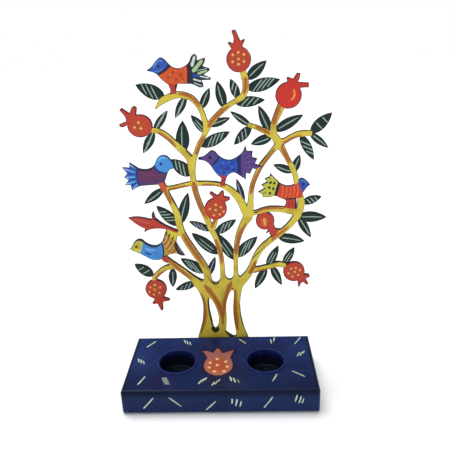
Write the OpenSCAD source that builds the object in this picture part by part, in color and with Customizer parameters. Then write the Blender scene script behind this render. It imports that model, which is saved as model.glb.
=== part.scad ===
/*
  Pomegranate tree candle holder.

  A flat tree with birds and pomegranates, cut from plate, stands at the back edge of a
  folded sheet-metal base. Two cups for tealights drop into the base and lift out.
  X runs to the right, Y to the back, Z up. The floor is at Z = 0.
*/

/* [Base] */

// Width of the base, left to right
base_w = 204; // [180:1:240]
// Depth of the base, front to back
base_d = 98; // [90:1:120]
// Height of the folded base cover
base_h = 28; // [26:1:40]
// Thickness of the base sheet
sheet_t = 1.5; // [1:0.1:2.5]
// Outside radius of the folds
fold_r = 3.5; // [2:0.5:6]
// Width of the rim left round the opening underneath
rim_w = 10; // [8:1:15]
// Thickness of the bottom plate
bottom_t = 3; // [2:0.5:5]
// How far the rubber feet stand below the cover
foot_gap = 1; // [0.5:0.5:3]

/* [Candle cups] */

// Distance of each cup from the middle of the base
cup_x = 48.6; // [40:0.1:60]
// Inside radius of a cup
cup_r = 19.9; // [19.5:0.1:22]
// Depth from the base's top to the cup's floor
cup_depth = 20; // [14:0.5:21]
// Wall thickness of a cup
cup_t = 0.7; // [0.5:0.1:1.2]
// Width of the flange that rests on the base
cup_flange = 1.8; // [1:0.1:4]
// Gap between a cup and its hole
cup_gap = 0.3; // [0.2:0.1:0.6]

/* [Tree] */

// Thickness of the tree plate
tree_t = 4; // [2:0.5:6]
// Depth of the foot behind the base's back wall
foot_h = 20; // [12:1:24]
// How far the tree stands to the right of the base's middle
tree_x = 0.8; // [-4:0.1:4]
// How far the tree's ground line is below the base's top
tree_drop = 0.6; // [0:0.1:2]
// Points drawn between two points of a curve
curve_steps = 3; // [1:1:6]

/* [Leaves] */

// Points along each side of a leaf
leaf_steps = 8; // [5:1:12]
// How blunt a leaf's sides are
leaf_bluntness = 0.8; // [0.6:0.05:1.2]

/* [Fixings] */

// Distance of each foot screw from the middle
foot_screw_x = 19; // [12:1:24]
// Height of the foot screws above the floor
foot_screw_z = 17; // [14:1:22]
// Radius of the foot screws
foot_screw_r = 2; // [1.5:0.5:2.5]
// Radius of the screws that hold the bottom plate
bottom_screw_r = 1.5; // [1:0.5:2]
// Radius of the rubber feet
rubber_r = 7; // [5:0.5:10]

/* [Hidden] */

$fn = 64;
base_z = foot_gap;
top_z = base_z + base_h;
back_y = base_d / 2;
hole_r = cup_r + cup_t + cup_gap;
plate_z = base_z + sheet_t;
rubber_x = base_w / 2 - 22;
rubber_y = base_d / 2 - 20;
bottom_screw_x = 62;
bottom_screw_y = base_d / 2 - 6;
middle_x = 8.7;
middle_y = 3.2;
bark = [0.78, 0.68, 0.22];
leaf_green = [0.08, 0.20, 0.17];
fruit_red = [0.76, 0.24, 0.12];
navy = [0.10, 0.12, 0.34];

// ---------- curves and outlines ----------

// One point of a Catmull-Rom curve between b and c
function curve_point(a, b, c, d, t) =
  0.5 * (2 * b + (c - a) * t + (2 * a - 5 * b + 4 * c - d) * t * t
    + (3 * b - a - 3 * c + d) * t * t * t);

// A smooth curve through every point of an open path
function curve(p, k = curve_steps) = [
  for (i = [0 : len(p) - 2])
    for (j = [0 : k - 1])
      curve_point(p[max(i - 1, 0)], p[i], p[i + 1], p[min(i + 2, len(p) - 1)], j / k),
  p[len(p) - 1]
];

// Unit direction of a path at one of its points
function heading(p, i) =
  let (a = p[max(i - 1, 0)], b = p[min(i + 1, len(p) - 1)], d = [b.x - a.x, b.y - a.y])
  d / norm(d);

// The point beside a path, half a width to the left (side 1) or the right (side -1)
function beside(p, i, side) =
  let (h = heading(p, i))
  [p[i].x - side * h.y * p[i].z / 2, p[i].y + side * h.x * p[i].z / 2];

// The outline of a stroke through points of [across, up, width]
function stroke_outline(p) = [
  for (i = [0 : len(p) - 1]) beside(p, i, 1),
  for (i = [len(p) - 1 : -1 : 0]) beside(p, i, -1)
];

// Half the width of a leaf at a share of its length
function leaf_half(s, w) = w / 2 * pow(sin(180 * pow(s, 0.85)), leaf_bluntness);

// The outline of a leaf from its base b to its tip t
function leaf_outline(b, t, w) =
  let (along = t - b, side = [-along.y, along.x] / norm(along), n = leaf_steps)
  [
    for (i = [0 : n]) b + along * (i / n) + side * leaf_half(i / n, w),
    for (i = [n - 1 : -1 : 1]) b + along * (i / n) - side * leaf_half(i / n, w)
  ];

// Twice the area inside an outline, positive when it runs anticlockwise
function turn(p, i = 0) =
  i == len(p) ? 0
    : let (q = p[(i + 1) % len(p)]) p[i].x * q.y - q.x * p[i].y + turn(p, i + 1);

// Draws an outline anticlockwise, whichever way its points are listed
module outline(p) {
  polygon(turn(p) > 0 ? p : [for (i = [len(p) - 1 : -1 : 0]) p[i]]);
}

module stroke(p) {
  outline(stroke_outline(curve(p)));
}

module leaf(b, t, w) {
  outline(leaf_outline(b, t, w));
}

// Stands a flat drawing up as plate at the base's back edge
module tree_plate() {
  translate([tree_x, back_y + tree_t, top_z - tree_drop])
    rotate([90, 0, 0])
      linear_extrude(tree_t)
        children();
}

// ---------- trunk and boughs, drawn flat ----------

module trunk_mass() {
  outline(concat(
    [[-30, -foot_h]],
    curve([[-30, 0], [-27, 10], [-24.5, 19], [-22.8, 30], [-22, 41], [-22.8, 50],
      [-25, 58], [-28.5, 65], [-32, 70]]),
    [[-26, 78]],
    curve([[-20, 75.5], [-19.4, 78], [-19.8, 82]]),
    curve([[-11.2, 82], [-10.8, 77.5], [-9.2, 73.6], [-6.5, 71.8], [-3.4, 73],
      [-1, 77], [-0.3, 82]]),
    curve([[5.3, 82], [5.8, 79.6], [7.6, 77], [10, 76], [12.4, 77], [14.2, 79.6],
      [14.8, 82]]),
    curve([[20.2, 83], [20.8, 80.6], [22.5, 79.3], [25, 80.4], [27.6, 83.4]]),
    [[34, 79.5]],
    curve([[29, 74.5], [26, 69.5], [23.8, 62], [22, 52], [21.4, 42], [22, 30],
      [24, 18], [26.5, 8], [29.5, 0]]),
    [[29.5, -foot_h]]
  ));
}

module trunk_gap_left() {
  outline(concat(
    curve([[-14, 52.5], [-14.9, 46], [-14.6, 38], [-13.4, 29], [-12, 20],
      [-10.8, 13.6], [-9.2, 10.6]]),
    curve([[-6.6, 12.8], [-4.9, 18], [-4.4, 25], [-5, 32], [-6.8, 39], [-9.6, 46],
      [-12.6, 51.4]])
  ));
}

module trunk_gap_right() {
  outline(concat(
    curve([[12.8, 62.5], [10, 59.6], [7, 52], [5.2, 44], [4.6, 34], [4.9, 25],
      [4.3, 15], [3.3, 6.5]]),
    [[8, 2.4], [12.6, -0.6]],
    curve([[15.5, 0], [15.2, 8], [14, 18], [13, 30], [13.1, 42], [14, 52],
      [14.6, 59]])
  ));
}

module trunk_flat() {
  difference() {
    trunk_mass();
    trunk_gap_left();
    trunk_gap_right();
  }
}

module bough_low_left_flat() {
  stroke([[-22, 69, 12], [-31, 77, 8.4], [-38, 83.5, 7.2], [-45, 89.5, 7],
    [-51, 94.5, 7], [-57, 100, 6], [-61, 104.4, 5]]);
  stroke([[-51, 93.5, 5], [-60, 92.6, 6], [-66, 89.5, 6], [-71.5, 85, 6],
    [-75.5, 80.5, 6], [-77, 75, 6]]);
}

module bough_left_flat() {
  stroke([[-14.6, 74, 8], [-15.4, 84, 8.4], [-18, 92.5, 8], [-22.5, 101, 8],
    [-28, 110, 8], [-33, 119, 8], [-38, 128.5, 7.6], [-42, 138, 8],
    [-43.3, 148, 7], [-45.3, 158, 7], [-48.8, 168, 6.4], [-53, 178, 6],
    [-57, 187, 6]]);
  stroke([[-40, 133, 6], [-47.5, 133.5, 4.6]]);
}

module bough_centre_flat() {
  stroke([[2.5, 76, 6.4], [2.4, 86, 5.6], [2, 97, 5.4], [0.8, 108, 5.6],
    [-1, 118, 6], [-3.6, 127, 5.8], [-6.8, 135, 6.4], [-9.8, 143, 6.6],
    [-12.8, 151, 6.5], [-16.6, 160, 6], [-20, 170, 6], [-22.8, 180, 6],
    [-24.5, 190, 6.6], [-25.2, 200, 6.2], [-25.4, 209, 8], [-25.5, 217, 10]]);
  stroke([[-8, 135, 5], [-4.8, 142.5, 5.4], [-2.4, 151, 5.4]]);
}

module bough_centre_right_flat() {
  stroke([[17.6, 78, 6], [17.5, 90, 5.2], [17.8, 102, 5.2], [18.6, 114, 5.8],
    [20.5, 125, 6.6], [23.6, 135, 7.2], [27.8, 144, 8], [32.4, 151.5, 10],
    [34.5, 160, 8.6], [35.7, 170, 6], [36.4, 180, 5.6], [38.8, 190, 5.2],
    [43, 200, 5.2], [47.5, 208.5, 5.4], [53.5, 216.3, 5], [59.5, 223.5, 5.2],
    [66, 230.5, 7]]);
}

module bough_right_flat() {
  stroke([[21, 70, 10], [26.5, 76.5, 9.6], [32, 83.5, 8.6], [36, 92, 7.6],
    [39, 100, 7], [42.6, 108, 6.8], [47.8, 115.2, 6.6], [54.3, 121.3, 6.5],
    [61.4, 127, 6.5], [69, 133, 6.5], [76.5, 139.8, 6.6], [82.4, 147, 7.4],
    [86.8, 154.5, 8.5], [89.2, 162, 8], [89.4, 170, 7], [87.5, 178, 6],
    [85, 186, 5.5], [83.7, 193, 5.8], [81.3, 201, 5.6], [77, 210, 5.6],
    [72.3, 219, 5.8], [67.5, 228, 8]]);
}

module twig_low_right_flat() {
  stroke([[37, 87, 7.5], [46, 89, 6.2], [54, 91, 6.2], [61, 93.3, 6.4],
    [67, 93.8, 6.6], [74, 91.5, 5.6]]);
}

module branch_cross_flat() {
  stroke([[-57, 186, 5.6], [-50, 186, 5], [-40, 188, 4.8], [-30, 190, 5],
    [-24, 190.6, 5.5], [-16, 190.4, 5.2], [-8, 190.2, 5], [0, 189.4, 4.9],
    [8, 186.6, 5.5], [15, 181.8, 6.8], [20.5, 175.8, 7.6], [25.5, 168, 8],
    [29, 160, 9], [32, 152, 9]]);
}

module branch_arc_flat() {
  stroke([[34, 156, 6], [41, 156, 5.2], [47, 158.2, 5.6], [55, 159.8, 6.2],
    [63, 159.8, 6.4], [71, 158.8, 6.8], [79, 156.8, 7.4], [86, 155.5, 8]]);
}

module crown_left_flat() {
  stroke([[-25.5, 212, 7], [-28, 219, 7.6], [-33, 225, 7], [-39.5, 231.5, 6.5],
    [-46, 238.5, 6.2], [-52.5, 244, 6], [-58.5, 247.3, 5.5], [-66, 248.6, 5.5]]);
}

module crown_centre_flat() {
  stroke([[-24.5, 212, 7], [-22, 219, 6], [-19.3, 225.5, 5.6], [-16.5, 232, 5.6],
    [-13, 237.5, 5.2], [-9.8, 243.5, 5.6], [-7.3, 250, 7]]);
  stroke([[-8, 247, 6], [-3.4, 254, 5.8], [3, 260.6, 5.8], [9.5, 266.4, 5.8],
    [16.5, 271.2, 5.2], [24, 275.5, 5.2], [29.5, 279, 6], [32.3, 285, 6.4],
    [32.6, 292, 6.6], [31.2, 299, 6.6], [29.5, 306, 6]]);
}

module crown_top_left_flat() {
  stroke([[-7.5, 249, 6], [-9.7, 257, 5.6], [-12, 265, 5.2], [-15.6, 272, 5.4],
    [-21, 278.2, 6], [-28, 281.6, 6.2], [-36, 282.3, 6.8], [-43.5, 280.5, 7],
    [-50, 277.5, 6.6], [-54.5, 274, 4.5], [-58.5, 269.3, 1.2]]);
}

module crown_right_flat() {
  stroke([[67, 228, 9], [63.5, 234.5, 8.5], [60.5, 240, 7], [59.8, 247, 6],
    [61.5, 254, 6.5], [64.5, 261, 7.5], [68, 269, 8]]);
  stroke([[62, 237.5, 6], [56, 241, 6], [49, 244.8, 5.4], [42, 248, 5],
    [34, 250.8, 4]]);
  stroke([[64, 232, 7], [71, 233, 6], [77.5, 236.5, 5.5], [84.5, 239.4, 6],
    [92, 240.4, 6], [99, 240, 5]]);
}

// ---------- birds, pomegranates and the bud, drawn flat ----------

module bird_top_left_flat() {
  outline(concat(
    curve([[-63.6, 307], [-58.8, 310], [-54.2, 315], [-50, 318], [-46, 316],
      [-42, 311.6], [-38, 308.6], [-33, 307.6], [-28, 308.8], [-24, 311]]),
    [[-20, 306], [-20, 296]],
    curve([[-22, 292.5], [-28, 292.6], [-34, 293]]),
    curve([[-44.5, 292.8], [-50, 297.5], [-54.5, 302.6], [-58.8, 304.8], [-63.6, 305.8]])
  ));
  outline([[-44.5, 294], [-34, 294], [-36.5, 287], [-36, 283.5], [-42.4, 283.2],
    [-42.3, 288]]);
  outline([[-24, 310.6], [-22, 313], [-19, 318.6], [-16.5, 320.4], [-14.2, 318],
    [-14.2, 314], [-10, 315.4], [-6, 316.4], [-7, 312.4], [-9, 308.6],
    [-2.2, 306.4], [-2.4, 304.2], [-8.4, 300.6], [-1.2, 297.4], [-2, 295.4],
    [-10.5, 295.6], [-9.4, 292], [-9, 289], [-12, 288.6], [-17, 290.6],
    [-22.4, 292.6]]);
}

module bird_left_flat() {
  outline(concat(
    curve([[-84, 209], [-78, 207.6], [-72, 207.6], [-67, 209.8], [-64, 213.5],
      [-61.5, 218.5], [-57, 221.7], [-52, 221.3], [-48, 218], [-46, 213.5],
      [-44.2, 207.8]]),
    curve([[-48.5, 206.8], [-51, 203.5], [-52.7, 199.6], [-54.2, 195.6],
      [-56, 192.4]]),
    curve([[-62, 190.4], [-72, 190], [-82, 189.4]])
  ));
  outline([[-63, 191.5], [-55.4, 193], [-53.8, 188.5], [-53.8, 184], [-60, 183.4],
    [-60.6, 187]]);
  outline([[-82, 208.6], [-86, 211.4], [-91, 215], [-91.2, 209.2], [-99, 210],
    [-94.4, 203.6], [-98.4, 199.2], [-93.6, 196.6], [-98.4, 190.6], [-92, 190.8],
    [-91, 184.6], [-86.4, 187.4], [-81, 189.6]]);
}

module bird_centre_flat() {
  outline(concat(
    curve([[-18.4, 218.2], [-12.8, 219.4], [-9, 222], [-4.5, 225.3], [-0.5, 224],
      [3, 220], [8, 216.3], [14, 214.8], [19, 216], [24, 219]]),
    curve([[24, 199], [18.5, 201.4], [14, 200], [10.8, 196.6]]),
    curve([[2.4, 198], [-2, 203.5], [-6, 210], [-9.5, 213.5], [-13, 215.2],
      [-17.6, 215.8]])
  ));
  outline([[11.4, 198.5], [1.6, 199.5], [5.4, 195], [3.8, 191], [3.4, 187.4],
    [9, 186.6], [8.9, 190.5], [10, 194]]);
  outline([[22, 217.6], [27, 221.5], [31.2, 229.8], [32.6, 223.6], [38.5, 223.5],
    [38, 217], [43.2, 215.4], [40.6, 210], [47.6, 207.4], [41, 204.4],
    [38.4, 205.4], [35.5, 199.4], [31.6, 200.6], [31, 193.4], [26.5, 196.6],
    [22, 199.8]]);
}

module bird_right_flat() {
  outline(concat(
    curve([[64, 190.4], [69.5, 187], [75, 185.2], [80, 186], [84.5, 188],
      [86.5, 191], [89.5, 193.3], [94, 191.2], [98.6, 186.2]]),
    curve([[94.4, 182], [92, 178.5], [90.4, 175.4], [90.6, 172.4], [85, 171.4],
      [79, 170.2], [73, 169.8], [68, 171.8], [62, 174.9]])
  ));
  outline([[72.4, 171.6], [84.6, 172.4], [85, 165], [84.2, 159.4], [78, 160],
    [71.8, 161.4], [73.6, 166]]);
  outline([[66, 189.8], [62, 193.4], [57, 199.6], [55.8, 195.6], [50.8, 193.5],
    [53.2, 190], [47.4, 187], [50.4, 183], [43.8, 179.3], [48, 176.8],
    [48.8, 173.5], [55, 173.2], [64, 174.4]]);
}

module bird_low_left_flat() {
  outline(concat(
    curve([[-100.6, 116.4], [-98.4, 119], [-95.8, 124], [-91, 127.7],
      [-86.5, 127.3], [-83, 124], [-79, 121.3], [-74, 119.8], [-69, 120.3],
      [-64.6, 123.4]]),
    curve([[-62, 106], [-66, 103.2], [-72, 102.3], [-78, 103.4], [-84, 107],
      [-89, 110], [-94, 112.6], [-98.4, 114.6]])
  ));
  outline([[-67, 104.4], [-59.5, 108], [-57.6, 102.4], [-59.6, 98.2],
    [-64.6, 101]]);
  outline([[-66, 121.4], [-62.4, 128], [-59.4, 136], [-57, 139.4], [-51, 136.6],
    [-46.2, 134.8], [-46.4, 129], [-48, 123], [-43.6, 114], [-39.4, 107],
    [-44, 107.4], [-48, 109.8], [-54, 109.4], [-62.5, 107]]);
}

module fruit_top_flat() {
  translate([26.4, 313.6])
    circle(12);
  outline([[20, 323], [16.4, 328.6], [17.2, 330.2], [21.2, 328.4], [22, 331],
    [20.2, 339], [21.6, 340.6], [24.2, 340], [28.4, 330.6], [32.4, 332.2],
    [32.8, 330.6], [30.4, 326.4], [31.4, 322.6]]);
}

module fruit_top_right_flat() {
  translate([75, 278.4])
    circle(13);
  outline([[71.5, 288], [73.6, 291.6], [72.8, 295], [74.4, 296], [79.4, 294],
    [83, 299.4], [86.2, 299.2], [86, 296.4], [84, 290.8], [94.6, 290],
    [94.8, 285.4], [84, 285]]);
}

module fruit_left_flat() {
  translate([-76, 252.8])
    scale([12.9 / 11.6, 1])
      circle(11.6, $fn = 48);
  outline([[-71, 262.6], [-78.8, 264.2], [-77.6, 271.2], [-80, 273], [-82.6, 271.8],
    [-85.4, 265.6], [-93.2, 271.4], [-95.2, 269.4], [-89.8, 261],
    [-89.4, 258], [-97.2, 255.2], [-96.6, 252.6], [-94, 252], [-86, 255]]);
}

module fruit_centre_flat() {
  translate([-2.4, 161.4])
    circle(12.2);
  outline([[-6, 171.6], [-4, 173.6], [-8.4, 179.2], [-6.6, 181.4], [0, 176.6],
    [5, 181.8], [7, 181.2], [7.4, 175.4], [13.4, 174], [13.4, 171.6],
    [6.6, 168]]);
}

module fruit_small_flat() {
  translate([51, 146.4])
    circle(10.2);
  outline([[55, 137.4], [51.8, 131], [55.2, 133.8], [56.4, 129.6], [59, 127.4],
    [63.4, 129.6], [64.2, 132.6], [68, 136.6], [62.6, 137], [60, 143]]);
}

module fruit_low_right_flat() {
  translate([83.2, 84.4])
    circle(12.1);
  outline([[92.6, 78.6], [95.6, 80.8], [100.4, 80.4], [101.4, 77.6], [96.6, 75],
    [99.8, 69], [98.4, 67.2], [93.4, 71], [91.4, 69], [89.6, 64.8],
    [88.2, 65.4], [87.4, 74]]);
}

module fruit_low_left_flat() {
  translate([-75.6, 65])
    circle(12.4);
  outline([[-67.4, 56], [-66.6, 54], [-60.6, 51.6], [-60.8, 50], [-66.6, 48.8],
    [-69.2, 48.6], [-69.4, 38], [-71, 36.8], [-72.4, 37.6], [-75.6, 46.2],
    [-80.6, 45.6], [-81.6, 47.2], [-78.8, 51], [-79, 56]]);
}

module red_bud_flat() {
  outline(concat(
    curve([[-98.6, 153.4], [-92, 154.4], [-84, 153.8], [-76, 151.8],
      [-72.6, 151.4]]),
    [[-72.4, 157.6], [-71.4, 159.8], [-70.2, 159.4], [-68.8, 152.6]],
    curve([[-63, 147.4], [-56, 142.8], [-44.6, 137.6]]),
    curve([[-46, 134.6], [-57, 138.8], [-64, 140.2], [-72, 140.2],
      [-79, 138.3]]),
    [[-82.6, 136.2]],
    curve([[-81.4, 140.6], [-86, 143], [-91.5, 147], [-96, 151]])
  ));
}

// ---------- leaves, drawn flat ----------

module leaves_low_left_flat() {
  leaf([-77, 82], [-97.4, 97], 11.5);
  leaf([-54.6, 91], [-55.8, 67.4], 9.4);
  leaf([-28, 72], [-53, 63.8], 8.6);
}

module leaves_left_flat() {
  leaf([-17, 84.5], [-44.4, 102.6], 11.5);
  leaf([-14, 81], [-5.2, 104], 7.6);
  leaf([-42, 144], [-31.4, 180.4], 11.5);
  leaf([-44, 142.5], [-66.6, 166], 11.5);
}

module leaves_left_tip_flat() {
  leaf([-57, 185.5], [-79.6, 169.2], 9);
  leaf([-26, 199], [-47.8, 217], 13.5);
}

module leaves_centre_flat() {
  leaf([-8, 136], [-32, 147.4], 7.4);
  leaf([-5, 132.5], [19.4, 148], 10);
  leaf([-1.5, 107.5], [-30.2, 133.4], 12);
  leaf([16.8, 100], [-2.4, 132.4], 11.5);
}

module leaves_centre_right_flat() {
  leaf([17, 103], [42.4, 127.4], 12);
  leaf([28.5, 167], [21, 194.4], 7);
}

module leaves_low_right_flat() {
  leaf([52.6, 90], [65.8, 116], 9.4);
  leaf([71, 93], [83.4, 113.4], 8.6);
  leaf([52.5, 90], [38.6, 63.6], 9.6);
  leaf([57.4, 92], [69.6, 67.4], 9);
}

module leaves_right_flat() {
  leaf([90.5, 165.5], [111, 172.4], 8.6);
  leaf([85.5, 150], [117, 149], 11.5);
  leaf([86.4, 151], [101.2, 125.6], 9);
  leaf([64.5, 127], [94, 121.4], 10.6);
}

module leaves_upper_right_flat() {
  leaf([81, 200], [60, 208.2], 8.2);
  leaf([80.5, 199], [87.4, 218], 8.4);
}

module leaves_crown_right_flat() {
  leaf([37.5, 249], [16.6, 264.4], 7);
  leaf([38, 249.5], [19.4, 230.6], 10);
  leaf([57, 241.5], [45, 269.4], 10);
  leaf([60.5, 243], [89.8, 258.8], 10.6);
  leaf([59, 238], [37, 230.6], 9.6);
}

module leaves_crown_tip_flat() {
  leaf([97.5, 240], [118.6, 260], 11.5);
  leaf([96.5, 240.5], [116.4, 224.6], 7.4);
  leaf([87.5, 239.5], [101.8, 212.4], 9.6);
}

module leaves_top_right_flat() {
  leaf([25.5, 276], [17.6, 296], 9);
  leaf([33.4, 294.5], [53.4, 311.6], 11);
  leaf([33, 285.5], [66.6, 293.8], 12.4);
  leaf([21, 272.5], [51.6, 274.6], 10.4);
}

module leaves_top_centre_flat() {
  leaf([11, 267.5], [4.4, 294.4], 10.5);
  leaf([-34, 222], [-32.4, 256.8], 14);
  leaf([-8, 243], [-23.4, 262], 8.4);
  leaf([-6, 250.5], [16.4, 258], 7.8);
  leaf([-15, 229.5], [15.6, 244], 11.5);
}

module leaves_top_left_flat() {
  leaf([-48, 280], [-76.6, 293.4], 13.5);
  leaf([-27, 281], [-39.4, 259.6], 8.4);
  leaf([-12.5, 267.5], [-3.2, 288], 8.6);
  leaf([-62, 247.5], [-46.6, 267.4], 8);
  leaf([-62, 246.5], [-75.4, 224.4], 9.4);
}

// ---------- the tree's nodes ----------

module trunk() {
  color(bark)
    difference() {
      tree_plate()
        trunk_flat();
      for (x = [-foot_screw_x, foot_screw_x])
        translate([x, back_y - 1, foot_screw_z])
          rotate([-90, 0, 0])
            cylinder(r = foot_screw_r + 0.15, h = tree_t + 2);
    }
}

module bough_low_left() {
  color(bark)
    tree_plate()
      difference() {
        bough_low_left_flat();
        trunk_mass();
        bird_low_left_flat();
        fruit_low_left_flat();
      }
}

module bough_left() {
  color(bark)
    tree_plate()
      difference() {
        bough_left_flat();
        trunk_mass();
        bird_left_flat();
        bird_low_left_flat();
        red_bud_flat();
      }
}

module bough_centre() {
  color(bark)
    tree_plate()
      difference() {
        bough_centre_flat();
        trunk_mass();
        fruit_centre_flat();
        bird_centre_flat();
      }
}

module bough_centre_right() {
  color(bark)
    tree_plate()
      difference() {
        bough_centre_right_flat();
        trunk_mass();
        bird_centre_flat();
        fruit_small_flat();
      }
}

module bough_right() {
  color(bark)
    tree_plate()
      difference() {
        bough_right_flat();
        trunk_mass();
        bough_centre_right_flat();
        bird_right_flat();
        fruit_small_flat();
      }
}

module twig_low_right() {
  color(bark)
    tree_plate()
      difference() {
        twig_low_right_flat();
        bough_right_flat();
        fruit_low_right_flat();
      }
}

module branch_cross() {
  color(bark)
    tree_plate()
      difference() {
        branch_cross_flat();
        bough_left_flat();
        bough_centre_flat();
        bough_centre_right_flat();
        bird_left_flat();
        bird_centre_flat();
      }
}

module branch_arc() {
  color(bark)
    tree_plate()
      difference() {
        branch_arc_flat();
        bough_centre_right_flat();
        bough_right_flat();
        fruit_small_flat();
        bird_right_flat();
      }
}

module crown_left() {
  color(bark)
    tree_plate()
      difference() {
        crown_left_flat();
        bough_centre_flat();
        fruit_left_flat();
      }
}

module crown_centre() {
  color(bark)
    tree_plate()
      difference() {
        crown_centre_flat();
        bough_centre_flat();
        crown_left_flat();
        bird_centre_flat();
        fruit_top_flat();
      }
}

module crown_top_left() {
  color(bark)
    tree_plate()
      difference() {
        crown_top_left_flat();
        crown_centre_flat();
        bird_top_left_flat();
      }
}

module crown_right() {
  color(bark)
    tree_plate()
      difference() {
        crown_right_flat();
        bough_centre_right_flat();
        bough_right_flat();
        fruit_top_right_flat();
      }
}

module bird_top_left() {
  color([0.85, 0.35, 0.12])
    tree_plate()
      bird_top_left_flat();
}

module bird_left() {
  color([0.45, 0.20, 0.42])
    tree_plate()
      bird_left_flat();
}

module bird_centre() {
  color([0.12, 0.25, 0.65])
    tree_plate()
      bird_centre_flat();
}

module bird_right() {
  color([0.80, 0.28, 0.12])
    tree_plate()
      bird_right_flat();
}

module bird_low_left() {
  color([0.25, 0.52, 0.80])
    tree_plate()
      bird_low_left_flat();
}

module fruit_top() {
  color(fruit_red)
    tree_plate()
      fruit_top_flat();
}

module fruit_top_right() {
  color(fruit_red)
    tree_plate()
      fruit_top_right_flat();
}

module fruit_left() {
  color(fruit_red)
    tree_plate()
      fruit_left_flat();
}

module fruit_centre() {
  color(fruit_red)
    tree_plate()
      fruit_centre_flat();
}

module fruit_small() {
  color(fruit_red)
    tree_plate()
      fruit_small_flat();
}

module fruit_low_right() {
  color(fruit_red)
    tree_plate()
      fruit_low_right_flat();
}

module fruit_low_left() {
  color(fruit_red)
    tree_plate()
      fruit_low_left_flat();
}

module red_bud() {
  color([0.68, 0.20, 0.12])
    tree_plate()
      difference() {
        red_bud_flat();
        bird_low_left_flat();
      }
}

module leaves_low_left() {
  color(leaf_green)
    tree_plate()
      difference() {
        leaves_low_left_flat();
        bough_low_left_flat();
        trunk_mass();
        fruit_low_left_flat();
      }
}

module leaves_left() {
  color(leaf_green)
    tree_plate()
      difference() {
        leaves_left_flat();
        bough_left_flat();
        trunk_mass();
        red_bud_flat();
      }
}

module leaves_left_tip() {
  color(leaf_green)
    tree_plate()
      difference() {
        leaves_left_tip_flat();
        bough_left_flat();
        bough_centre_flat();
        branch_cross_flat();
        bird_left_flat();
      }
}

module leaves_centre() {
  color(leaf_green)
    tree_plate()
      difference() {
        leaves_centre_flat();
        bough_centre_flat();
        bough_centre_right_flat();
      }
}

module leaves_centre_right() {
  color(leaf_green)
    tree_plate()
      difference() {
        leaves_centre_right_flat();
        bough_centre_right_flat();
        branch_cross_flat();
        leaves_centre_flat();
      }
}

module leaves_low_right() {
  color(leaf_green)
    tree_plate()
      difference() {
        leaves_low_right_flat();
        twig_low_right_flat();
        fruit_low_right_flat();
      }
}

module leaves_right() {
  color(leaf_green)
    tree_plate()
      difference() {
        leaves_right_flat();
        bough_right_flat();
        fruit_small_flat();
      }
}

module leaves_upper_right() {
  color(leaf_green)
    tree_plate()
      difference() {
        leaves_upper_right_flat();
        bough_right_flat();
      }
}

module leaves_crown_right() {
  color(leaf_green)
    tree_plate()
      difference() {
        leaves_crown_right_flat();
        crown_right_flat();
        bough_right_flat();
      }
}

module leaves_crown_tip() {
  color(leaf_green)
    tree_plate()
      difference() {
        leaves_crown_tip_flat();
        crown_right_flat();
      }
}

module leaves_top_right() {
  color(leaf_green)
    tree_plate()
      difference() {
        leaves_top_right_flat();
        crown_centre_flat();
        fruit_top_flat();
      }
}

module leaves_top_centre() {
  color(leaf_green)
    tree_plate()
      difference() {
        leaves_top_centre_flat();
        crown_centre_flat();
        crown_top_left_flat();
        crown_left_flat();
      }
}

module leaves_top_left() {
  color(leaf_green)
    tree_plate()
      difference() {
        leaves_top_left_flat();
        crown_top_left_flat();
        crown_left_flat();
        fruit_left_flat();
      }
}

// ---------- the base ----------

// A flat rectangle with round corners, drawn round its middle
module round_rect(a, b, r) {
  square([a - 2 * r, b], center = true);
  square([a, b - 2 * r], center = true);
  for (x = [-1, 1])
    for (y = [-1, 1])
      translate([x * (a / 2 - r), y * (b / 2 - r)])
        circle(r);
}

// A box with every edge rounded, standing on Z = 0
module round_box(a, b, c, r) {
  intersection() {
    linear_extrude(c)
      round_rect(a, b, r);
    translate([0, b / 2, c / 2])
      rotate([90, 0, 0])
        linear_extrude(b)
          round_rect(a, c, r);
    translate([-a / 2, 0, c / 2])
      rotate([90, 0, 90])
        linear_extrude(a)
          round_rect(b, c, r);
  }
}

module plate_screw_holes(r) {
  for (x = [-bottom_screw_x, bottom_screw_x])
    for (y = [-bottom_screw_y, bottom_screw_y])
      translate([x, y, 0])
        cylinder(r = r, h = top_z / 2);
}

// The folded cover, whole: one sheet round the hollow base
module folded_cover() {
  difference() {
    translate([0, 0, base_z])
      round_box(base_w, base_d, base_h, fold_r);
    translate([0, 0, base_z + sheet_t])
      round_box(base_w - 2 * sheet_t, base_d - 2 * sheet_t, base_h - 2 * sheet_t,
        fold_r - sheet_t);
    translate([0, 0, base_z - 1])
      linear_extrude(sheet_t + 2)
        round_rect(base_w - 2 * rim_w, base_d - 2 * rim_w, 4);
    for (x = [-foot_screw_x, foot_screw_x])
      translate([x, back_y - sheet_t - 1, foot_screw_z])
        rotate([-90, 0, 0])
          cylinder(r = foot_screw_r + 0.15, h = sheet_t + 2);
    plate_screw_holes(bottom_screw_r + 0.1);
    for (x = [-bottom_screw_x, bottom_screw_x])
      for (y = [-bottom_screw_y, bottom_screw_y])
        translate([x, y, base_z - 0.01])
          cylinder(r1 = bottom_screw_r + 1.4, r2 = bottom_screw_r + 0.1, h = 1.3);
  }
}

// The cover's flat top inside the folds, with a hole for each cup
module base_top() {
  color(navy)
    difference() {
      translate([0, 0, top_z - sheet_t])
        linear_extrude(sheet_t)
          square([base_w - 2 * fold_r, base_d - 2 * fold_r], center = true);
      for (x = [-cup_x, cup_x])
        translate([x, 0, top_z - sheet_t - 1])
          cylinder(r = hole_r, h = sheet_t + 2);
    }
}

// The cover's folds, its four walls and the rim underneath
module base_skirt() {
  color(navy)
    difference() {
      folded_cover();
      translate([0, 0, top_z - sheet_t - 1])
        linear_extrude(sheet_t + 2)
          square([base_w - 2 * fold_r, base_d - 2 * fold_r], center = true);
    }
}

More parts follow.
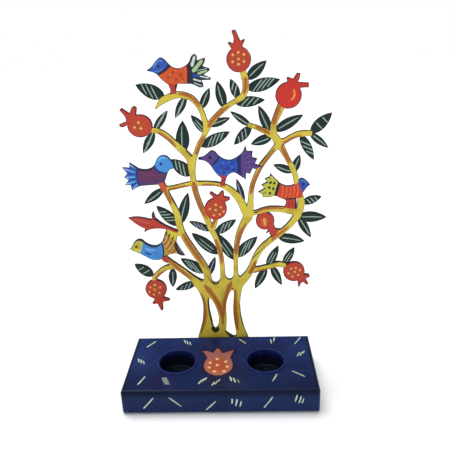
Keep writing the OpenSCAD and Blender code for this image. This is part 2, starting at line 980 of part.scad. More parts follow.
module bottom_plate() {
  color([0.45, 0.46, 0.48])
    difference() {
      translate([0, 0, plate_z])
        linear_extrude(bottom_t)
          round_rect(base_w - 2 * sheet_t - 5, base_d - 2 * sheet_t - 5, 3);
      plate_screw_holes(bottom_screw_r);
    }
}

// A countersunk screw, its head flush with the rim underneath
module plate_screw(x, y) {
  color([0.75, 0.76, 0.78])
    translate([x, y, base_z])
      difference() {
        union() {
          cylinder(r1 = bottom_screw_r + 1.2, r2 = bottom_screw_r, h = 1.2);
          cylinder(r = bottom_screw_r, h = sheet_t + bottom_t + 0.5);
        }
        translate([0, 0, -0.01])
          for (a = [0, 90])
            rotate([0, 0, a])
              translate([-1.5, -0.35, 0])
                cube([3, 0.7, 0.7]);
      }
}

module rubber_foot(x, y) {
  color([0.10, 0.10, 0.11])
    translate([x, y, 0])
      rotate_extrude()
        polygon([[0, 0], [rubber_r - 0.6, 0], [rubber_r, 0.6], [rubber_r, plate_z],
          [0, plate_z]]);
}

// A pressed cup for a tealight: stepped floor, thin wall and flat flange
module candle_cup(x) {
  floor_z = top_z - cup_depth;
  out_r = cup_r + cup_t;
  rim_z = top_z + cup_gap;
  color([0.06, 0.07, 0.14])
    translate([x, 0, 0])
      rotate_extrude()
        polygon([
          [0, floor_z - 1.7], [14.6, floor_z - 1.7], [15, floor_z - 0.8],
          [out_r - 0.8, floor_z - 0.8], [out_r, floor_z], [out_r, rim_z],
          [out_r + cup_flange, rim_z], [out_r + cup_flange, rim_z + 0.4],
          [out_r + cup_flange - 0.3, rim_z + cup_t], [cup_r + 0.2, rim_z + cup_t],
          [cup_r, rim_z + 0.4], [cup_r, floor_z + 0.4], [cup_r - 0.4, floor_z],
          [14.4, floor_z], [14, floor_z - 0.9], [0, floor_z - 0.9]
        ]);
}

// A pan-head screw through the tree's foot and the base's back wall
module tree_screw(x) {
  color([0.75, 0.76, 0.78])
    translate([x, back_y + tree_t, foot_screw_z])
      rotate([90, 0, 0])
        difference() {
          union() {
            cylinder(r = foot_screw_r, h = tree_t + sheet_t + 4);
            translate([0, 0, -2.4])
              cylinder(r = 2 * foot_screw_r, h = 2.4);
          }
          translate([0, 0, -2.41])
            for (a = [0, 90])
              rotate([0, 0, a])
                translate([-2, -0.4, 0])
                  cube([4, 0.8, 1.2]);
        }
}

module tree_nut(x) {
  color([0.75, 0.76, 0.78])
    translate([x, back_y - sheet_t, foot_screw_z])
      rotate([90, 0, 0])
        difference() {
          cylinder(r = 2 * foot_screw_r, h = 3.2, $fn = 6);
          translate([0, 0, -1])
            cylinder(r = foot_screw_r, h = 5.2);
        }
}

// ---------- the assembly ----------

// Puts the middle of the whole candle holder, not of its base, at X = 0 and Y = 0
module place() {
  translate([-middle_x, -middle_y, 0])
    children();
}

place() base_top();
place() base_skirt();
place() bottom_plate();
place() candle_cup(-cup_x);  // cup_left
place() candle_cup(cup_x);  // cup_right
place() rubber_foot(-rubber_x, -rubber_y);  // foot_front_left
place() rubber_foot(rubber_x, -rubber_y);  // foot_front_right
place() rubber_foot(-rubber_x, rubber_y);  // foot_back_left
place() rubber_foot(rubber_x, rubber_y);  // foot_back_right
place() plate_screw(-bottom_screw_x, -bottom_screw_y);  // plate_screw_front_left
place() plate_screw(bottom_screw_x, -bottom_screw_y);  // plate_screw_front_right
place() plate_screw(-bottom_screw_x, bottom_screw_y);  // plate_screw_back_left
place() plate_screw(bottom_screw_x, bottom_screw_y);  // plate_screw_back_right
place() tree_screw(-foot_screw_x);  // tree_screw_left
place() tree_screw(foot_screw_x);  // tree_screw_right
place() tree_nut(-foot_screw_x);  // tree_nut_left
place() tree_nut(foot_screw_x);  // tree_nut_right
place() trunk();
place() bough_low_left();
place() bough_left();
place() bough_centre();
place() bough_centre_right();
place() bough_right();
place() twig_low_right();
place() branch_cross();
place() branch_arc();
place() crown_left();
place() crown_centre();
place() crown_top_left();
place() crown_right();
place() bird_top_left();
place() bird_left();
place() bird_centre();
place() bird_right();
place() bird_low_left();
place() fruit_top();
place() fruit_top_right();
place() fruit_left();
place() fruit_centre();
place() fruit_small();
place() fruit_low_right();
place() fruit_low_left();
place() red_bud();
place() leaves_low_left();
place() leaves_left();
place() leaves_left_tip();
place() leaves_centre();
place() leaves_centre_right();
place() leaves_low_right();
place() leaves_right();
place() leaves_upper_right();
place() leaves_crown_right();
place() leaves_crown_tip();
place() leaves_top_right();
place() leaves_top_centre();
place() leaves_top_left();
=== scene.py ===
"""The looks of the tree candle holder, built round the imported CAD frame.

Every plate of the tree is rebuilt from its own CAD outline as a finely meshed plate with
softened edges, and its paint is drawn in the mesh as real outlines: strokes, dots and
fields of colour. Lengths are millimetres in the drawing and metres in Blender.
"""

import math

import bpy
import numpy as np
from mathutils import Matrix, Vector
from mathutils.geometry import delaunay_2d_cdt


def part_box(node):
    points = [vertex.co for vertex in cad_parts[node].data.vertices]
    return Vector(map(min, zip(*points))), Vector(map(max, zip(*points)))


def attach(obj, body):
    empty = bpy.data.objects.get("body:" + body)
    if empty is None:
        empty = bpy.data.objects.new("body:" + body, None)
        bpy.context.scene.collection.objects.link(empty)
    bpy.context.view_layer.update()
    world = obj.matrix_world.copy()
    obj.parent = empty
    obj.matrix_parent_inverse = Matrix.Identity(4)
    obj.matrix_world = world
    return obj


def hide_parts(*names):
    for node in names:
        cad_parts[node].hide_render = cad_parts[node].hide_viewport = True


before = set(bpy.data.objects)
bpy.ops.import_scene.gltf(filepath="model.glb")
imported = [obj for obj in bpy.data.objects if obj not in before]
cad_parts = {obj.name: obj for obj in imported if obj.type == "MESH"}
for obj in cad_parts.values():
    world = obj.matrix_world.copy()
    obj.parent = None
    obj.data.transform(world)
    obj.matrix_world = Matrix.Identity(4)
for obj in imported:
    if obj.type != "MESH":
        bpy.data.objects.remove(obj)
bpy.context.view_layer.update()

# ---------- where things are, in millimetres ----------

MM = 0.001
base_low, base_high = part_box("base_skirt")
trunk_low, trunk_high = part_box("trunk")
BASE_X = (base_low.x + base_high.x) / 2 / MM
BASE_Y = (base_low.y + base_high.y) / 2 / MM
BASE_Z = base_low.z / MM
TOP_Z = base_high.z / MM
FRONT_Y = base_low.y / MM
TREE_X = BASE_X + 0.8          # the tree stands a little right of the base's middle
TREE_Z = TOP_Z - 0.6           # its ground line is just below the base's top
TREE_FRONT = trunk_low.y / MM
TREE_T = (trunk_high.y - trunk_low.y) / MM

EDGE_R = 0.4                   # how far the enamel rounds a cut edge
STEP = 0.8                     # spacing of points along an edge
GRID = 1.5                     # spacing of points inside a plate
CORNER = math.radians(36)      # a sharper turn than this stays a corner
FAR = 6.0                      # distances to an edge are measured up to this
PROBE = 0.12                   # how far outside an edge another plate is looked for
SLOPE = 0.35                   # how wide the soft edge of raised paint is
FOLD = math.radians(50)        # a sharper fold in a mesh than this is shaded as a crease
DOT_SIDES = 12                 # points round a dab of paint
SEED_R = 1.3                   # radius of a seed painted on the tree
RIB_W, PAIR_W = 1.15, 1.0      # width of a leaf's strokes, and of two ribs side by side


def rgb(r, g, b):
    """A screen colour, 0 to 255, as linear light."""
    def line(c):
        c = c / 255
        return c / 12.92 if c <= 0.04045 else ((c + 0.055) / 1.055) ** 2.4
    return (line(r), line(g), line(b))


MUSTARD = rgb(212, 194, 66)
OCHRE = rgb(190, 158, 44)
GOLD = rgb(204, 146, 50)
STREAK = rgb(176, 102, 42)
LEAF = rgb(6, 34, 32)
PALE = rgb(146, 172, 158)
LAVENDER = rgb(146, 148, 176)
BRICK = rgb(188, 60, 40)
SCARLET = rgb(196, 46, 34)
RUST = rgb(174, 76, 34)
PEACH = rgb(250, 168, 112)
ORANGE = rgb(206, 84, 32)
PURPLE = rgb(92, 46, 92)
VIOLET = rgb(82, 58, 126)
ROYAL = rgb(30, 76, 174)
SKY = rgb(66, 140, 212)
NIGHT = rgb(28, 34, 84)
PLUM = rgb(46, 24, 52)
LIME = rgb(190, 190, 64)
BLACK = rgb(28, 28, 26)
WHITE = rgb(206, 218, 206)


# ---------- plane geometry ----------

def inside(points, loops):
    """Which points lie inside the loops, by the even-odd rule."""
    found = np.zeros(len(points), bool)
    x, y = points[:, 0:1], points[:, 1:2]
    for loop in loops:
        a, b = loop, np.roll(loop, -1, axis=0)
        rise = np.where(np.abs(b[:, 1] - a[:, 1]) < 1e-12, 1e-12, b[:, 1] - a[:, 1])
        spans = (a[:, 1] > y) != (b[:, 1] > y)
        cross = a[:, 0] + (y - a[:, 1]) * (b[:, 0] - a[:, 0]) / rise
        found ^= (np.sum(spans & (x < cross), axis=1) % 2).astype(bool)
    return found


def distance(points, starts, ends):
    """How far each point is from the nearest of the segments, at most FAR."""
    if len(starts) == 0 or len(points) == 0:
        return np.full(len(points), FAR)
    near = np.full(len(points), FAR)
    low, high = points.min(0) - FAR, points.max(0) + FAR
    keep = np.all((np.maximum(starts, ends) > low) & (np.minimum(starts, ends) < high), axis=1)
    starts, ends = starts[keep], ends[keep]
    for i in range(0, len(points), 2000):
        p = points[i:i + 2000, None, :]
        along = ends - starts
        square = np.maximum(np.sum(along * along, axis=1), 1e-12)
        t = np.clip(np.sum((p - starts) * along, axis=2) / square, 0, 1)
        gap = p - starts - along * t[:, :, None]
        if len(starts):
            near[i:i + 2000] = np.minimum(FAR, np.sqrt(np.min(np.sum(gap * gap, axis=2), axis=1)))
    return near


def anticlockwise(points, tris, least):
    """The triangles, turned anticlockwise where they weren't, without those of hardly any area."""
    a, b, c = (points[tris[:, i]] for i in range(3))
    area = (b - a)[:, 0] * (c - a)[:, 1] - (b - a)[:, 1] * (c - a)[:, 0]
    tris[area < 0] = tris[area < 0][:, ::-1]
    return tris[np.abs(area) > least]


def rim_edges(tris):
    """The directed edges that belong to one triangle only, in order."""
    edges = {(int(t[i]), int(t[(i + 1) % 3])) for t in tris for i in range(3)}
    return [(p, q) for p, q in sorted(edges) if (q, p) not in edges]


def smooth_path(points, step):
    """A smooth open path through the points, with a point about every step."""
    p = [np.array(q, float) for q in points]
    out = []
    for i in range(len(p) - 1):
        a, b, c, d = p[max(i - 1, 0)], p[i], p[i + 1], p[min(i + 2, len(p) - 1)]
        count = max(1, round(np.linalg.norm(c - b) / step))
        for t in np.arange(count) / count:
            out.append(0.5 * (2 * b + (c - a) * t + (2 * a - 5 * b + 4 * c - d) * t ** 2
                              + (3 * b - a - 3 * c + d) * t ** 3))
    out.append(p[-1])
    return np.array(out)


# ---------- paint shapes ----------

def field(colour, points, lift=0.0):
    """A field of colour inside a closed outline."""
    return {"outline": np.array(points, float), "core": [], "colour": colour, "lift": lift}


def dot(colour, x, y, r, lift=0.16, tall=1.0):
    """A round dab of paint, as a brush tip leaves it."""
    turns = np.arange(DOT_SIDES) / DOT_SIDES * 2 * math.pi
    wobble = r * (1 + 0.07 * np.sin(3 * turns + x) + 0.05 * np.sin(2 * turns + y))
    ring = np.stack([x + wobble * np.cos(turns), y + tall * wobble * np.sin(turns)], axis=1)
    return {"outline": ring, "core": [(x, y)], "colour": colour, "lift": lift}


def brush(colour, points, width, lift=0.1, start=0.14, end=0.34):
    """A brush stroke along a path: a round start and a longer taper at its end."""
    path = smooth_path(points, max(width * 0.6, 0.7))
    steps = np.linalg.norm(np.diff(path, axis=0), axis=1)
    share = np.concatenate([[0], np.cumsum(steps)]) / steps.sum()
    ahead = np.gradient(path, axis=0)
    ahead /= np.linalg.norm(ahead, axis=1)[:, None]
    side = np.stack([-ahead[:, 1], ahead[:, 0]], axis=1)
    grow = np.sqrt(np.clip(1 - np.clip(1 - share / start, 0, 1) ** 2, 0, 1))
    fade = np.sqrt(np.clip(1 - np.clip(1 - (1 - share) / end, 0, 1) ** 2, 0, 1))
    half = width / 2 * np.maximum(grow * fade, 0.12)
    half = half * (1 + 0.08 * np.sin(9 * share + path[0, 0]))
    outline = np.concatenate([path + side * half[:, None], (path - side * half[:, None])[::-1]])
    return {"outline": outline, "core": [tuple(q) for q in path[1:-1]], "colour": colour,
            "lift": lift}


def dots(colour, places, **more):
    """A dab of paint at each place. A place may have its own radius after it."""
    return [dot(colour, *place, **more) for place in places]


def brushes(colour, width, paths, **more):
    """A stroke of the same colour and width along each path."""
    return [brush(colour, path, width, **more) for path in paths]


def streak_weight(flat, points, width):
    """How strongly a soft, tapering streak covers each point, from 0 to 1."""
    path = smooth_path(points, 0.8)
    share = np.linspace(0, 1, len(path))
    reach = width * np.minimum(1, np.minimum(0.45 + 4 * share, 0.2 + 2.6 * (1 - share)))
    reach = reach * (1 + 0.1 * np.sin(14 * share + path[0, 0]))
    gaps = np.linalg.norm(flat[:, None, :] - path, axis=2)
    return np.clip(1 - gaps / reach, 0, 1).max(axis=1)


# ---------- building a plate ----------

def add(name, data):
    """A new object in the scene."""
    made = bpy.data.objects.new(name, data)
    bpy.context.scene.collection.objects.link(made)
    return made


def cad_loops(node):
    """The outlines of a tree plate's front face, anticlockwise round the metal."""
    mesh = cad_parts[node].data
    mesh.calc_loop_triangles()
    co = np.array([v.co for v in mesh.vertices], float) / MM
    tris = np.array([t.vertices for t in mesh.loop_triangles])
    tris = tris[np.all(np.abs(co[tris][:, :, 1] - TREE_FRONT) < 0.01, axis=1)]
    flat = np.round(np.stack([co[:, 0] - TREE_X, co[:, 2] - TREE_Z], axis=1), 3)
    points, same = np.unique(flat, axis=0, return_inverse=True)
    tris = anticlockwise(points, same.reshape(-1)[tris], 1e-9)
    follow = {}
    for a, b in rim_edges(tris):
        follow.setdefault(a, []).append(b)
    loops = []
    while follow:
        first = min(follow)
        loop, at = [], first
        while True:
            loop.append(at)
            nexts = follow[at]
            at = nexts.pop()
            if not nexts:
                del follow[loop[-1]]
            if at == first:
                break
        loops.append(points[loop])
    return [loop for loop in loops if len(loop) > 2]


def free_segments(loops, others):
    """For each loop, which of its segments meet no other plate."""
    flags = []
    for loop in loops:
        ahead = np.roll(loop, -1, axis=0) - loop
        length = np.maximum(np.linalg.norm(ahead, axis=1), 1e-9)[:, None]
        out = np.stack([ahead[:, 1], -ahead[:, 0]], axis=1) / length
        probe = loop + ahead / 2 + out * PROBE
        meets = np.zeros(len(loop), bool)
        for other in others:
            low = np.min([p.min(0) for p in other], axis=0)
            high = np.max([p.max(0) for p in other], axis=0)
            if np.any(np.all((probe > low) & (probe < high), axis=1)):
                meets |= inside(probe, other)
        flags.append(~meets)
    return flags


def smooth_loop(loop, free, step):
    """The loop with its free stretches smoothed, and a point about every step."""
    n = len(loop)
    ahead = np.roll(loop, -1, axis=0) - loop
    length = np.maximum(np.linalg.norm(ahead, axis=1), 1e-9)
    way = ahead / length[:, None]
    points, flags = [], []
    for i in range(n):
        j = (i + 1) % n
        h = (i - 1) % n

        def tangent(before, after):
            turn = math.acos(float(np.clip(np.dot(way[before], way[after]), -1, 1)))
            if turn > CORNER or not (free[before] and free[after]):
                return None
            t = way[before] * length[after] + way[after] * length[before]
            return t / np.linalg.norm(t)

        count = max(1, round(length[i] / step))
        first, last = way[i], way[i]
        if free[i]:
            got, had = tangent(h, i), tangent(i, j)
            first = way[i] if got is None else got
            last = way[i] if had is None else had
        for t in np.arange(count) / count:
            points.append((2 * t ** 3 - 3 * t ** 2 + 1) * loop[i]
                          + (t ** 3 - 2 * t ** 2 + t) * length[i] * first
                          + (3 * t ** 2 - 2 * t ** 3) * loop[j]
                          + (t ** 3 - t ** 2) * length[i] * last)
            flags.append(bool(free[i]))
    return np.array(points), np.array(flags)


def segments(loops, flags=None):
    """The start and end points of every segment, or only of the flagged ones."""
    starts = np.concatenate([loop for loop in loops])
    ends = np.concatenate([np.roll(loop, -1, axis=0) for loop in loops])
    if flags is None:
        return starts, ends
    keep = np.concatenate(flags)
    return starts[keep], ends[keep]


def fill_points(loops, flags, free_edges, radius, step, grid):
    """Points inside a plate: rings that follow its free edges, and a grid."""
    rings = []
    for loop, free in zip(loops, flags):
        ahead = np.roll(loop, -1, axis=0) - np.roll(loop, 1, axis=0)
        inward = np.stack([-ahead[:, 1], ahead[:, 0]], axis=1)
        inward /= np.maximum(np.linalg.norm(inward, axis=1), 1e-9)[:, None]
        for depth in (radius * 0.3, radius):
            ring = (loop + inward * depth)[free]
            rings.append(ring[distance(ring, *free_edges) > depth * 0.9])
    low = np.min([loop.min(0) for loop in loops], axis=0)
    high = np.max([loop.max(0) for loop in loops], axis=0)
    rows = np.arange(low[1], high[1], grid * 0.87)
    lattice = np.array([(x + (grid / 2 if k % 2 else 0), y) for k, y in enumerate(rows)
                        for x in np.arange(low[0], high[0], grid)]).reshape(-1, 2)
    lattice = lattice[distance(lattice, *segments(loops)) > radius + step * 0.4]
    points = np.concatenate(rings + [lattice])
    return points[inside(points, loops)]


def triangulate(loops, shapes, extra):
    """A plate's points and triangles, with an edge along each loop and each painted outline."""
    coords, edges = [], []
    for ring in loops + [s["outline"] for s in shapes]:
        first = len(coords)
        coords += [Vector(p) for p in ring]
        edges += [(first + i, first + (i + 1) % len(ring)) for i in range(len(ring))]
    coords += [Vector(p) for p in extra]
    cores = np.array([c for s in shapes for c in s["core"]], float).reshape(-1, 2)
    if len(cores):
        coords += [Vector(p) for p in cores[inside(cores, loops)]]
    made = delaunay_2d_cdt(coords, edges, [], 0, 1e-4, False)
    flat = np.array([tuple(v) for v in made[0]])
    tris = np.array([f for f in made[2] if len(f) == 3])
    tris = anticlockwise(flat, tris[inside(flat[tris].mean(axis=1), loops)], 1e-7)
    used, again = np.unique(tris, return_inverse=True)
    return flat[used], again.reshape(tris.shape)


def lay_paint(flat, tris, shapes, ground):
    """The colour of each triangle, and how far paint raises each point."""
    middle = flat[tris].mean(axis=1)
    colours = np.tile(np.array(ground), (len(tris), 1))
    raised = np.zeros(len(flat))
    for shape in shapes:
        loop = shape["outline"]
        colours[inside(middle, [loop])] = shape["colour"]
        if shape["lift"]:
            within = inside(flat, [loop])
            depth_in = distance(flat[within], *segments([loop]))
            raised[within] = shape["lift"] * np.minimum(1, depth_in / SLOPE)
    return colours, raised


def store_colours(mesh, colours, rim_count):
    """Stores the colours on a plate's front and back. The faces of its rim stay black."""
    corner = np.concatenate([np.repeat(colours, 3, axis=0)] * 2 + [np.zeros((rim_count * 4, 3))])
    corner = np.concatenate([corner, np.ones((len(corner), 1))], axis=1)
    layer = mesh.color_attributes.new("paint", "FLOAT_COLOR", "CORNER")
    layer.data.foreach_set("color", corner.astype(np.float32).ravel())


def store_values(mesh, name, values):
    """Stores one value for each point of a plate's front, and the same for its back."""
    layer = mesh.attributes.new(name, "FLOAT", "POINT")
    layer.data.foreach_set("value", np.tile(values, 2).astype(np.float32))


def build_plate(name, loops, flags, shapes, ground, place, free_edges=None, depth=TREE_T,
                radius=EDGE_R, step=STEP, grid=GRID, streaks=(), both_faces=True):
    """A closed plate with softened edges, painted with the shapes on its faces."""
    if free_edges is None:
        free_edges = segments(loops, flags)
    extra = fill_points(loops, flags, free_edges, radius, step, grid)
    flat, tris = triangulate(loops, shapes, extra)
    colours, raised = lay_paint(flat, tris, shapes, ground)
    edge = distance(flat, *free_edges)
    inner = np.clip(radius - edge, 0, radius)
    drop = radius - np.sqrt(np.maximum(radius ** 2 - inner ** 2, 0))
    weight = np.zeros(len(flat))
    for points, width in streaks:
        weight = np.maximum(weight, streak_weight(flat, points, width))

    n = len(flat)
    rim = rim_edges(tris)
    front = [place(u, v, w) for (u, v), w in zip(flat, drop - raised)]
    back_at = depth - drop + raised if both_faces else np.full(n, depth)
    back = [place(u, v, w) for (u, v), w in zip(flat, back_at)]
    faces = [tuple(t) for t in tris] + [tuple(t[::-1] + n) for t in tris]
    faces += [(p, p + n, q + n, q) for p, q in rim]
    mesh = bpy.data.meshes.new(name)
    mesh.from_pydata(front + back, [], [tuple(int(i) for i in f) for f in faces])
    store_colours(mesh, colours, len(rim))
    store_values(mesh, "edge", edge)
    store_values(mesh, "streak", weight)
    mesh.validate()
    mesh.shade_smooth()
    mesh.set_sharp_from_angle(angle=FOLD)
    return add(name, mesh)


def on_tree(u, v, w):
    """Where a point of the tree's drawing is, w behind its front face."""
    return ((u + TREE_X) * MM, (TREE_FRONT + w) * MM, (v + TREE_Z) * MM)


# ---------- materials ----------

class Shader:
    """A material with a Principled shader, and short calls for the nodes in front of it."""

    def __init__(self, name):
        self.material = bpy.data.materials.new(name)
        self.material.use_nodes = True
        self.nodes = self.material.node_tree.nodes
        self.links = self.material.node_tree.links
        self.shader = self.nodes["Principled BSDF"]
        self.place = self.node("ShaderNodeTexCoord").outputs["Object"]

    def node(self, kind, **settings):
        made = self.nodes.new(kind)
        for key, value in settings.items():
            setattr(made, key, value)
        return made

    def feed(self, node, **inputs):
        """Sets or links a node's inputs, each by its name or, as i0, i1 and so on, its number."""
        for key, value in inputs.items():
            by_number = key[0] == "i" and key[1:].isdigit()
            socket = node.inputs[int(key[1:]) if by_number else key.replace("_", " ")]
            if isinstance(value, bpy.types.NodeSocket):
                self.links.new(value, socket)
            else:
                socket.default_value = value
        return node

    def noise(self, scale, detail, stretch=(1, 1, 1), rough=0.5):
        """Noise in the frame's metres, stretched along the axes."""
        mapping = self.feed(self.node("ShaderNodeMapping"), Vector=self.place, Scale=stretch)
        made = self.node("ShaderNodeTexNoise")
        self.feed(made, Vector=mapping.outputs[0], Scale=scale, Detail=detail, Roughness=rough)
        return made.outputs["Fac"]

    def math(self, kind, a, b, c=0.0):
        made = self.node("ShaderNodeMath", operation=kind)
        return self.feed(made, i0=a, i1=b, i2=c).outputs[0]

    def ramp(self, value, low, high, to_low=0.0, to_high=1.0):
        made = self.node("ShaderNodeMapRange", interpolation_type="SMOOTHSTEP")
        self.feed(made, Value=value, From_Min=low, From_Max=high, To_Min=to_low, To_Max=to_high)
        return made.outputs["Result"]

    def mix(self, share, a, b):
        made = self.node("ShaderNodeMix", data_type="RGBA")
        self.feed(made, i0=share)
        for index, value in ((6, a), (7, b)):
            if isinstance(value, bpy.types.NodeSocket):
                self.links.new(value, made.inputs[index])
            else:
                made.inputs[index].default_value = (*value, 1)
        return made.outputs[2]

    def sway(self, base, noise, reach):
        """The base value, moved by noise up to half the reach each way."""
        return self.math("MULTIPLY_ADD", self.math("SUBTRACT", noise, 0.5), reach, base)

    def uneven(self, noise, colour, dark):
        """The colour, with noise fading it towards a darker one."""
        return self.mix(noise, colour, [c * dark for c in colour])

    def tone(self, colour, value):
        """The colour made lighter or darker by a value round 1."""
        made = self.node("ShaderNodeHueSaturation")
        return self.feed(made, Color=colour, Value=value).outputs[0]

    def attribute(self, name, output="Fac"):
        return self.node("ShaderNodeAttribute", attribute_name=name).outputs[output]

    def bump(self, height, distance_m, strength):
        made = self.node("ShaderNodeBump")
        self.feed(made, Height=height, Distance=distance_m, Strength=strength)
        self.links.new(made.outputs[0], self.shader.inputs["Normal"])

    def finish(self, **inputs):
        self.feed(self.shader, **inputs)
        return self.material


def plate_enamel(name, rim, rim_width, variation, bark=False):
    """Hand-brushed enamel: brush lines that follow the edges, and a darker rim."""
    s = Shader(name)
    edge = s.attribute("edge")
    broad = s.noise(48, 2)
    fine = s.noise(420, 4, rough=0.6)
    wander = s.math("ADD", s.math("MULTIPLY", broad, 5.0), s.math("MULTIPLY", fine, 1.1))
    lines = s.node("ShaderNodeTexNoise", noise_dimensions="1D")
    s.feed(lines, W=s.math("MULTIPLY_ADD", edge, 1.3, wander), Scale=1.6, Detail=2.0)
    lines = lines.outputs["Fac"]
    value = s.math("ADD", s.math("MULTIPLY", lines, variation * 1.3),
                   s.math("MULTIPLY", broad, variation))
    value = s.math("ADD", value, 1 - variation * 1.15)
    colour = s.tone(s.attribute("paint", "Color"), value)
    if bark:
        patches = s.ramp(s.noise(75, 3), 0.46, 0.72, 0.0, 0.7)
        colour = s.mix(patches, colour, s.tone(s.uneven(fine, OCHRE, 0.8), value))
        ragged = s.sway(s.sway(s.attribute("streak"), lines, 0.6), fine, 0.3)
        gold = s.tone(s.uneven(fine, GOLD, 0.8), value)
        brown = s.tone(s.uneven(fine, STREAK, 0.7), value)
        colour = s.mix(s.ramp(ragged, 0.04, 0.4), colour, gold)
        colour = s.mix(s.ramp(ragged, 0.34, 0.8), colour, brown)
    ragged_edge = s.sway(edge, fine, rim_width * 0.9)
    colour = s.mix(s.ramp(ragged_edge, rim_width * 0.55, rim_width, 1.0, 0.0), colour, rim)
    s.bump(s.math("ADD", lines, s.math("MULTIPLY", fine, 0.6)), 0.00012, 0.45)
    return s.finish(Base_Color=colour, Roughness=s.ramp(fine, 0.2, 0.8, 0.29, 0.48),
                    Specular_IOR_Level=0.22, Coat_Weight=0.08, Coat_Roughness=0.14)


def gloss_enamel(name, colour, deep, painted_shades, roughness=0.17, shine=0.25, coat=0.14):
    """Poured gloss enamel with faint clouds and orange peel. Each painted shade darkens it towards
    one end of an axis, where less light falls: the axis, where it starts and ends, and what is left
    at its end."""
    s = Shader(name)
    clouds = s.noise(26, 3)
    peel = s.noise(850, 2)
    tone = s.mix(s.ramp(clouds, 0.3, 0.7), deep, colour)
    value = s.ramp(s.noise(1500, 1), 0.72, 0.8, 1.0, 0.82)
    spot = s.node("ShaderNodeSeparateXYZ")
    s.links.new(s.place, spot.inputs[0])
    for axis, start, end, left in painted_shades:
        place = s.sway(spot.outputs[axis], clouds, abs(end - start) * MM * 0.4)
        value = s.math("MULTIPLY", value, s.ramp(place, start * MM, end * MM, 1.0, left))
    s.bump(s.math("ADD", peel, s.math("MULTIPLY", clouds, 2.0)), 0.00004, 0.4)
    return s.finish(Base_Color=s.tone(tone, value), Specular_IOR_Level=shine,
                    Roughness=s.ramp(clouds, 0.3, 0.7, roughness, roughness + 0.1),
                    Coat_Weight=coat, Coat_Roughness=0.05)


def cup_enamel(name, lip, wall, floor):
    """The same enamel inside a cup, with painted shade darkening it towards the bottom."""
    s = Shader(name)
    height = s.node("ShaderNodeSeparateXYZ")
    s.links.new(s.place, height.inputs[0])
    mottle = s.noise(160, 4)
    level = s.sway(height.outputs["Z"], mottle, 0.006)
    # painted shade: away from the lip the cup takes the darker wall colour, and lower down the
    # darker floor colour
    tone = s.mix(s.ramp(level, (TOP_Z - 9) * MM, TOP_Z * MM), wall, lip)
    tone = s.mix(s.ramp(level, (TOP_Z - 19) * MM, (TOP_Z - 15) * MM), floor, tone)
    s.bump(s.noise(850, 2), 0.00004, 0.4)
    return s.finish(Base_Color=s.tone(tone, s.ramp(mottle, 0.3, 0.7, 0.85, 1.1)),
                    Roughness=s.ramp(mottle, 0.3, 0.7, 0.2, 0.38), Specular_IOR_Level=0.25,
                    Coat_Weight=0.1, Coat_Roughness=0.08)


def brushed_metal(name, colour, roughness, stretch=(1, 40, 40)):
    """Bare metal with a fine grain, which the stretch usually draws out along X."""
    s = Shader(name)
    lines = s.noise(60, 4, stretch)
    stain = s.noise(35, 4)
    tone = s.tone(s.uneven(s.ramp(stain, 0.35, 0.7), colour, 0.72),
                  s.ramp(lines, 0.3, 0.7, 0.86, 1.08))
    s.bump(lines, 0.00003, 0.4)
    return s.finish(Base_Color=tone, Metallic=1.0,
                    Roughness=s.ramp(stain, 0.3, 0.7, roughness, roughness + 0.16))


def rubber(name):
    """Moulded black rubber with a fine grain and a dusty bloom."""
    s = Shader(name)
    grain = s.noise(1400, 3)
    dust = s.noise(90, 4)
    tone = s.mix(s.ramp(dust, 0.45, 0.8), rgb(30, 30, 32), rgb(58, 57, 58))
    s.bump(grain, 0.00006, 0.6)
    return s.finish(Base_Color=s.tone(tone, s.ramp(grain, 0.3, 0.7, 0.85, 1.1)),
                    Roughness=s.ramp(grain, 0.3, 0.7, 0.62, 0.8), Specular_IOR_Level=0.3)


BARK_PAINT = plate_enamel("bark_enamel", rgb(46, 40, 20), 0.6, 0.3, bark=True)
LEAF_PAINT = plate_enamel("leaf_enamel", rgb(8, 18, 20), 0.55, 0.42)
FRUIT_PAINT = plate_enamel("fruit_enamel", rgb(104, 34, 48), 1.2, 0.3)
BUD_PAINT = plate_enamel("bud_enamel", rgb(76, 34, 44), 0.9, 0.26)
BIRD_PAINT = plate_enamel("bird_enamel", rgb(30, 34, 62), 0.8, 0.34)
DASH_PAINT = plate_enamel("dash_enamel", rgb(120, 142, 130), 0.3, 0.4)
BADGE_PAINT = plate_enamel("badge_enamel", rgb(34, 12, 34), 0.5, 0.26)
# painted shade: the base's top is darkened towards its front edge, where less light falls
TOP_PAINTED_SHADE = [("Y", 10, -44, 0.6)]      # darker towards the front
# painted shade: the base's front and sides darken towards the fold round the top
FOLD_PAINTED_SHADE = [("Z", 20, 26, 0.36)]     # darker towards the fold round the top
NAVY_ENAMEL = gloss_enamel("navy_enamel", rgb(16, 42, 96), rgb(12, 28, 78), TOP_PAINTED_SHADE)
# the base's front and sides: the same navy paint as the top, painted darker and greyer as they look
# in shade
SHADED_SIDE_ENAMEL = gloss_enamel("shaded_side_enamel", rgb(22, 40, 84), rgb(18, 34, 74), FOLD_PAINTED_SHADE,
                           roughness=0.24, shine=0.07, coat=0.04)
# a navy lip, and darker wall and floor colours that paint the shade inside the well
CUP_ENAMEL = cup_enamel("cup_enamel", rgb(26, 38, 98), rgb(11, 16, 42), rgb(16, 22, 34))
BARE_STEEL = brushed_metal("bare_steel", rgb(150, 152, 156), 0.3)
ZINC_STEEL = brushed_metal("zinc_steel", rgb(196, 197, 200), 0.24, (30, 30, 30))
RUBBER = rubber("rubber")


# ---------- what is painted where, in the drawing's millimetres ----------

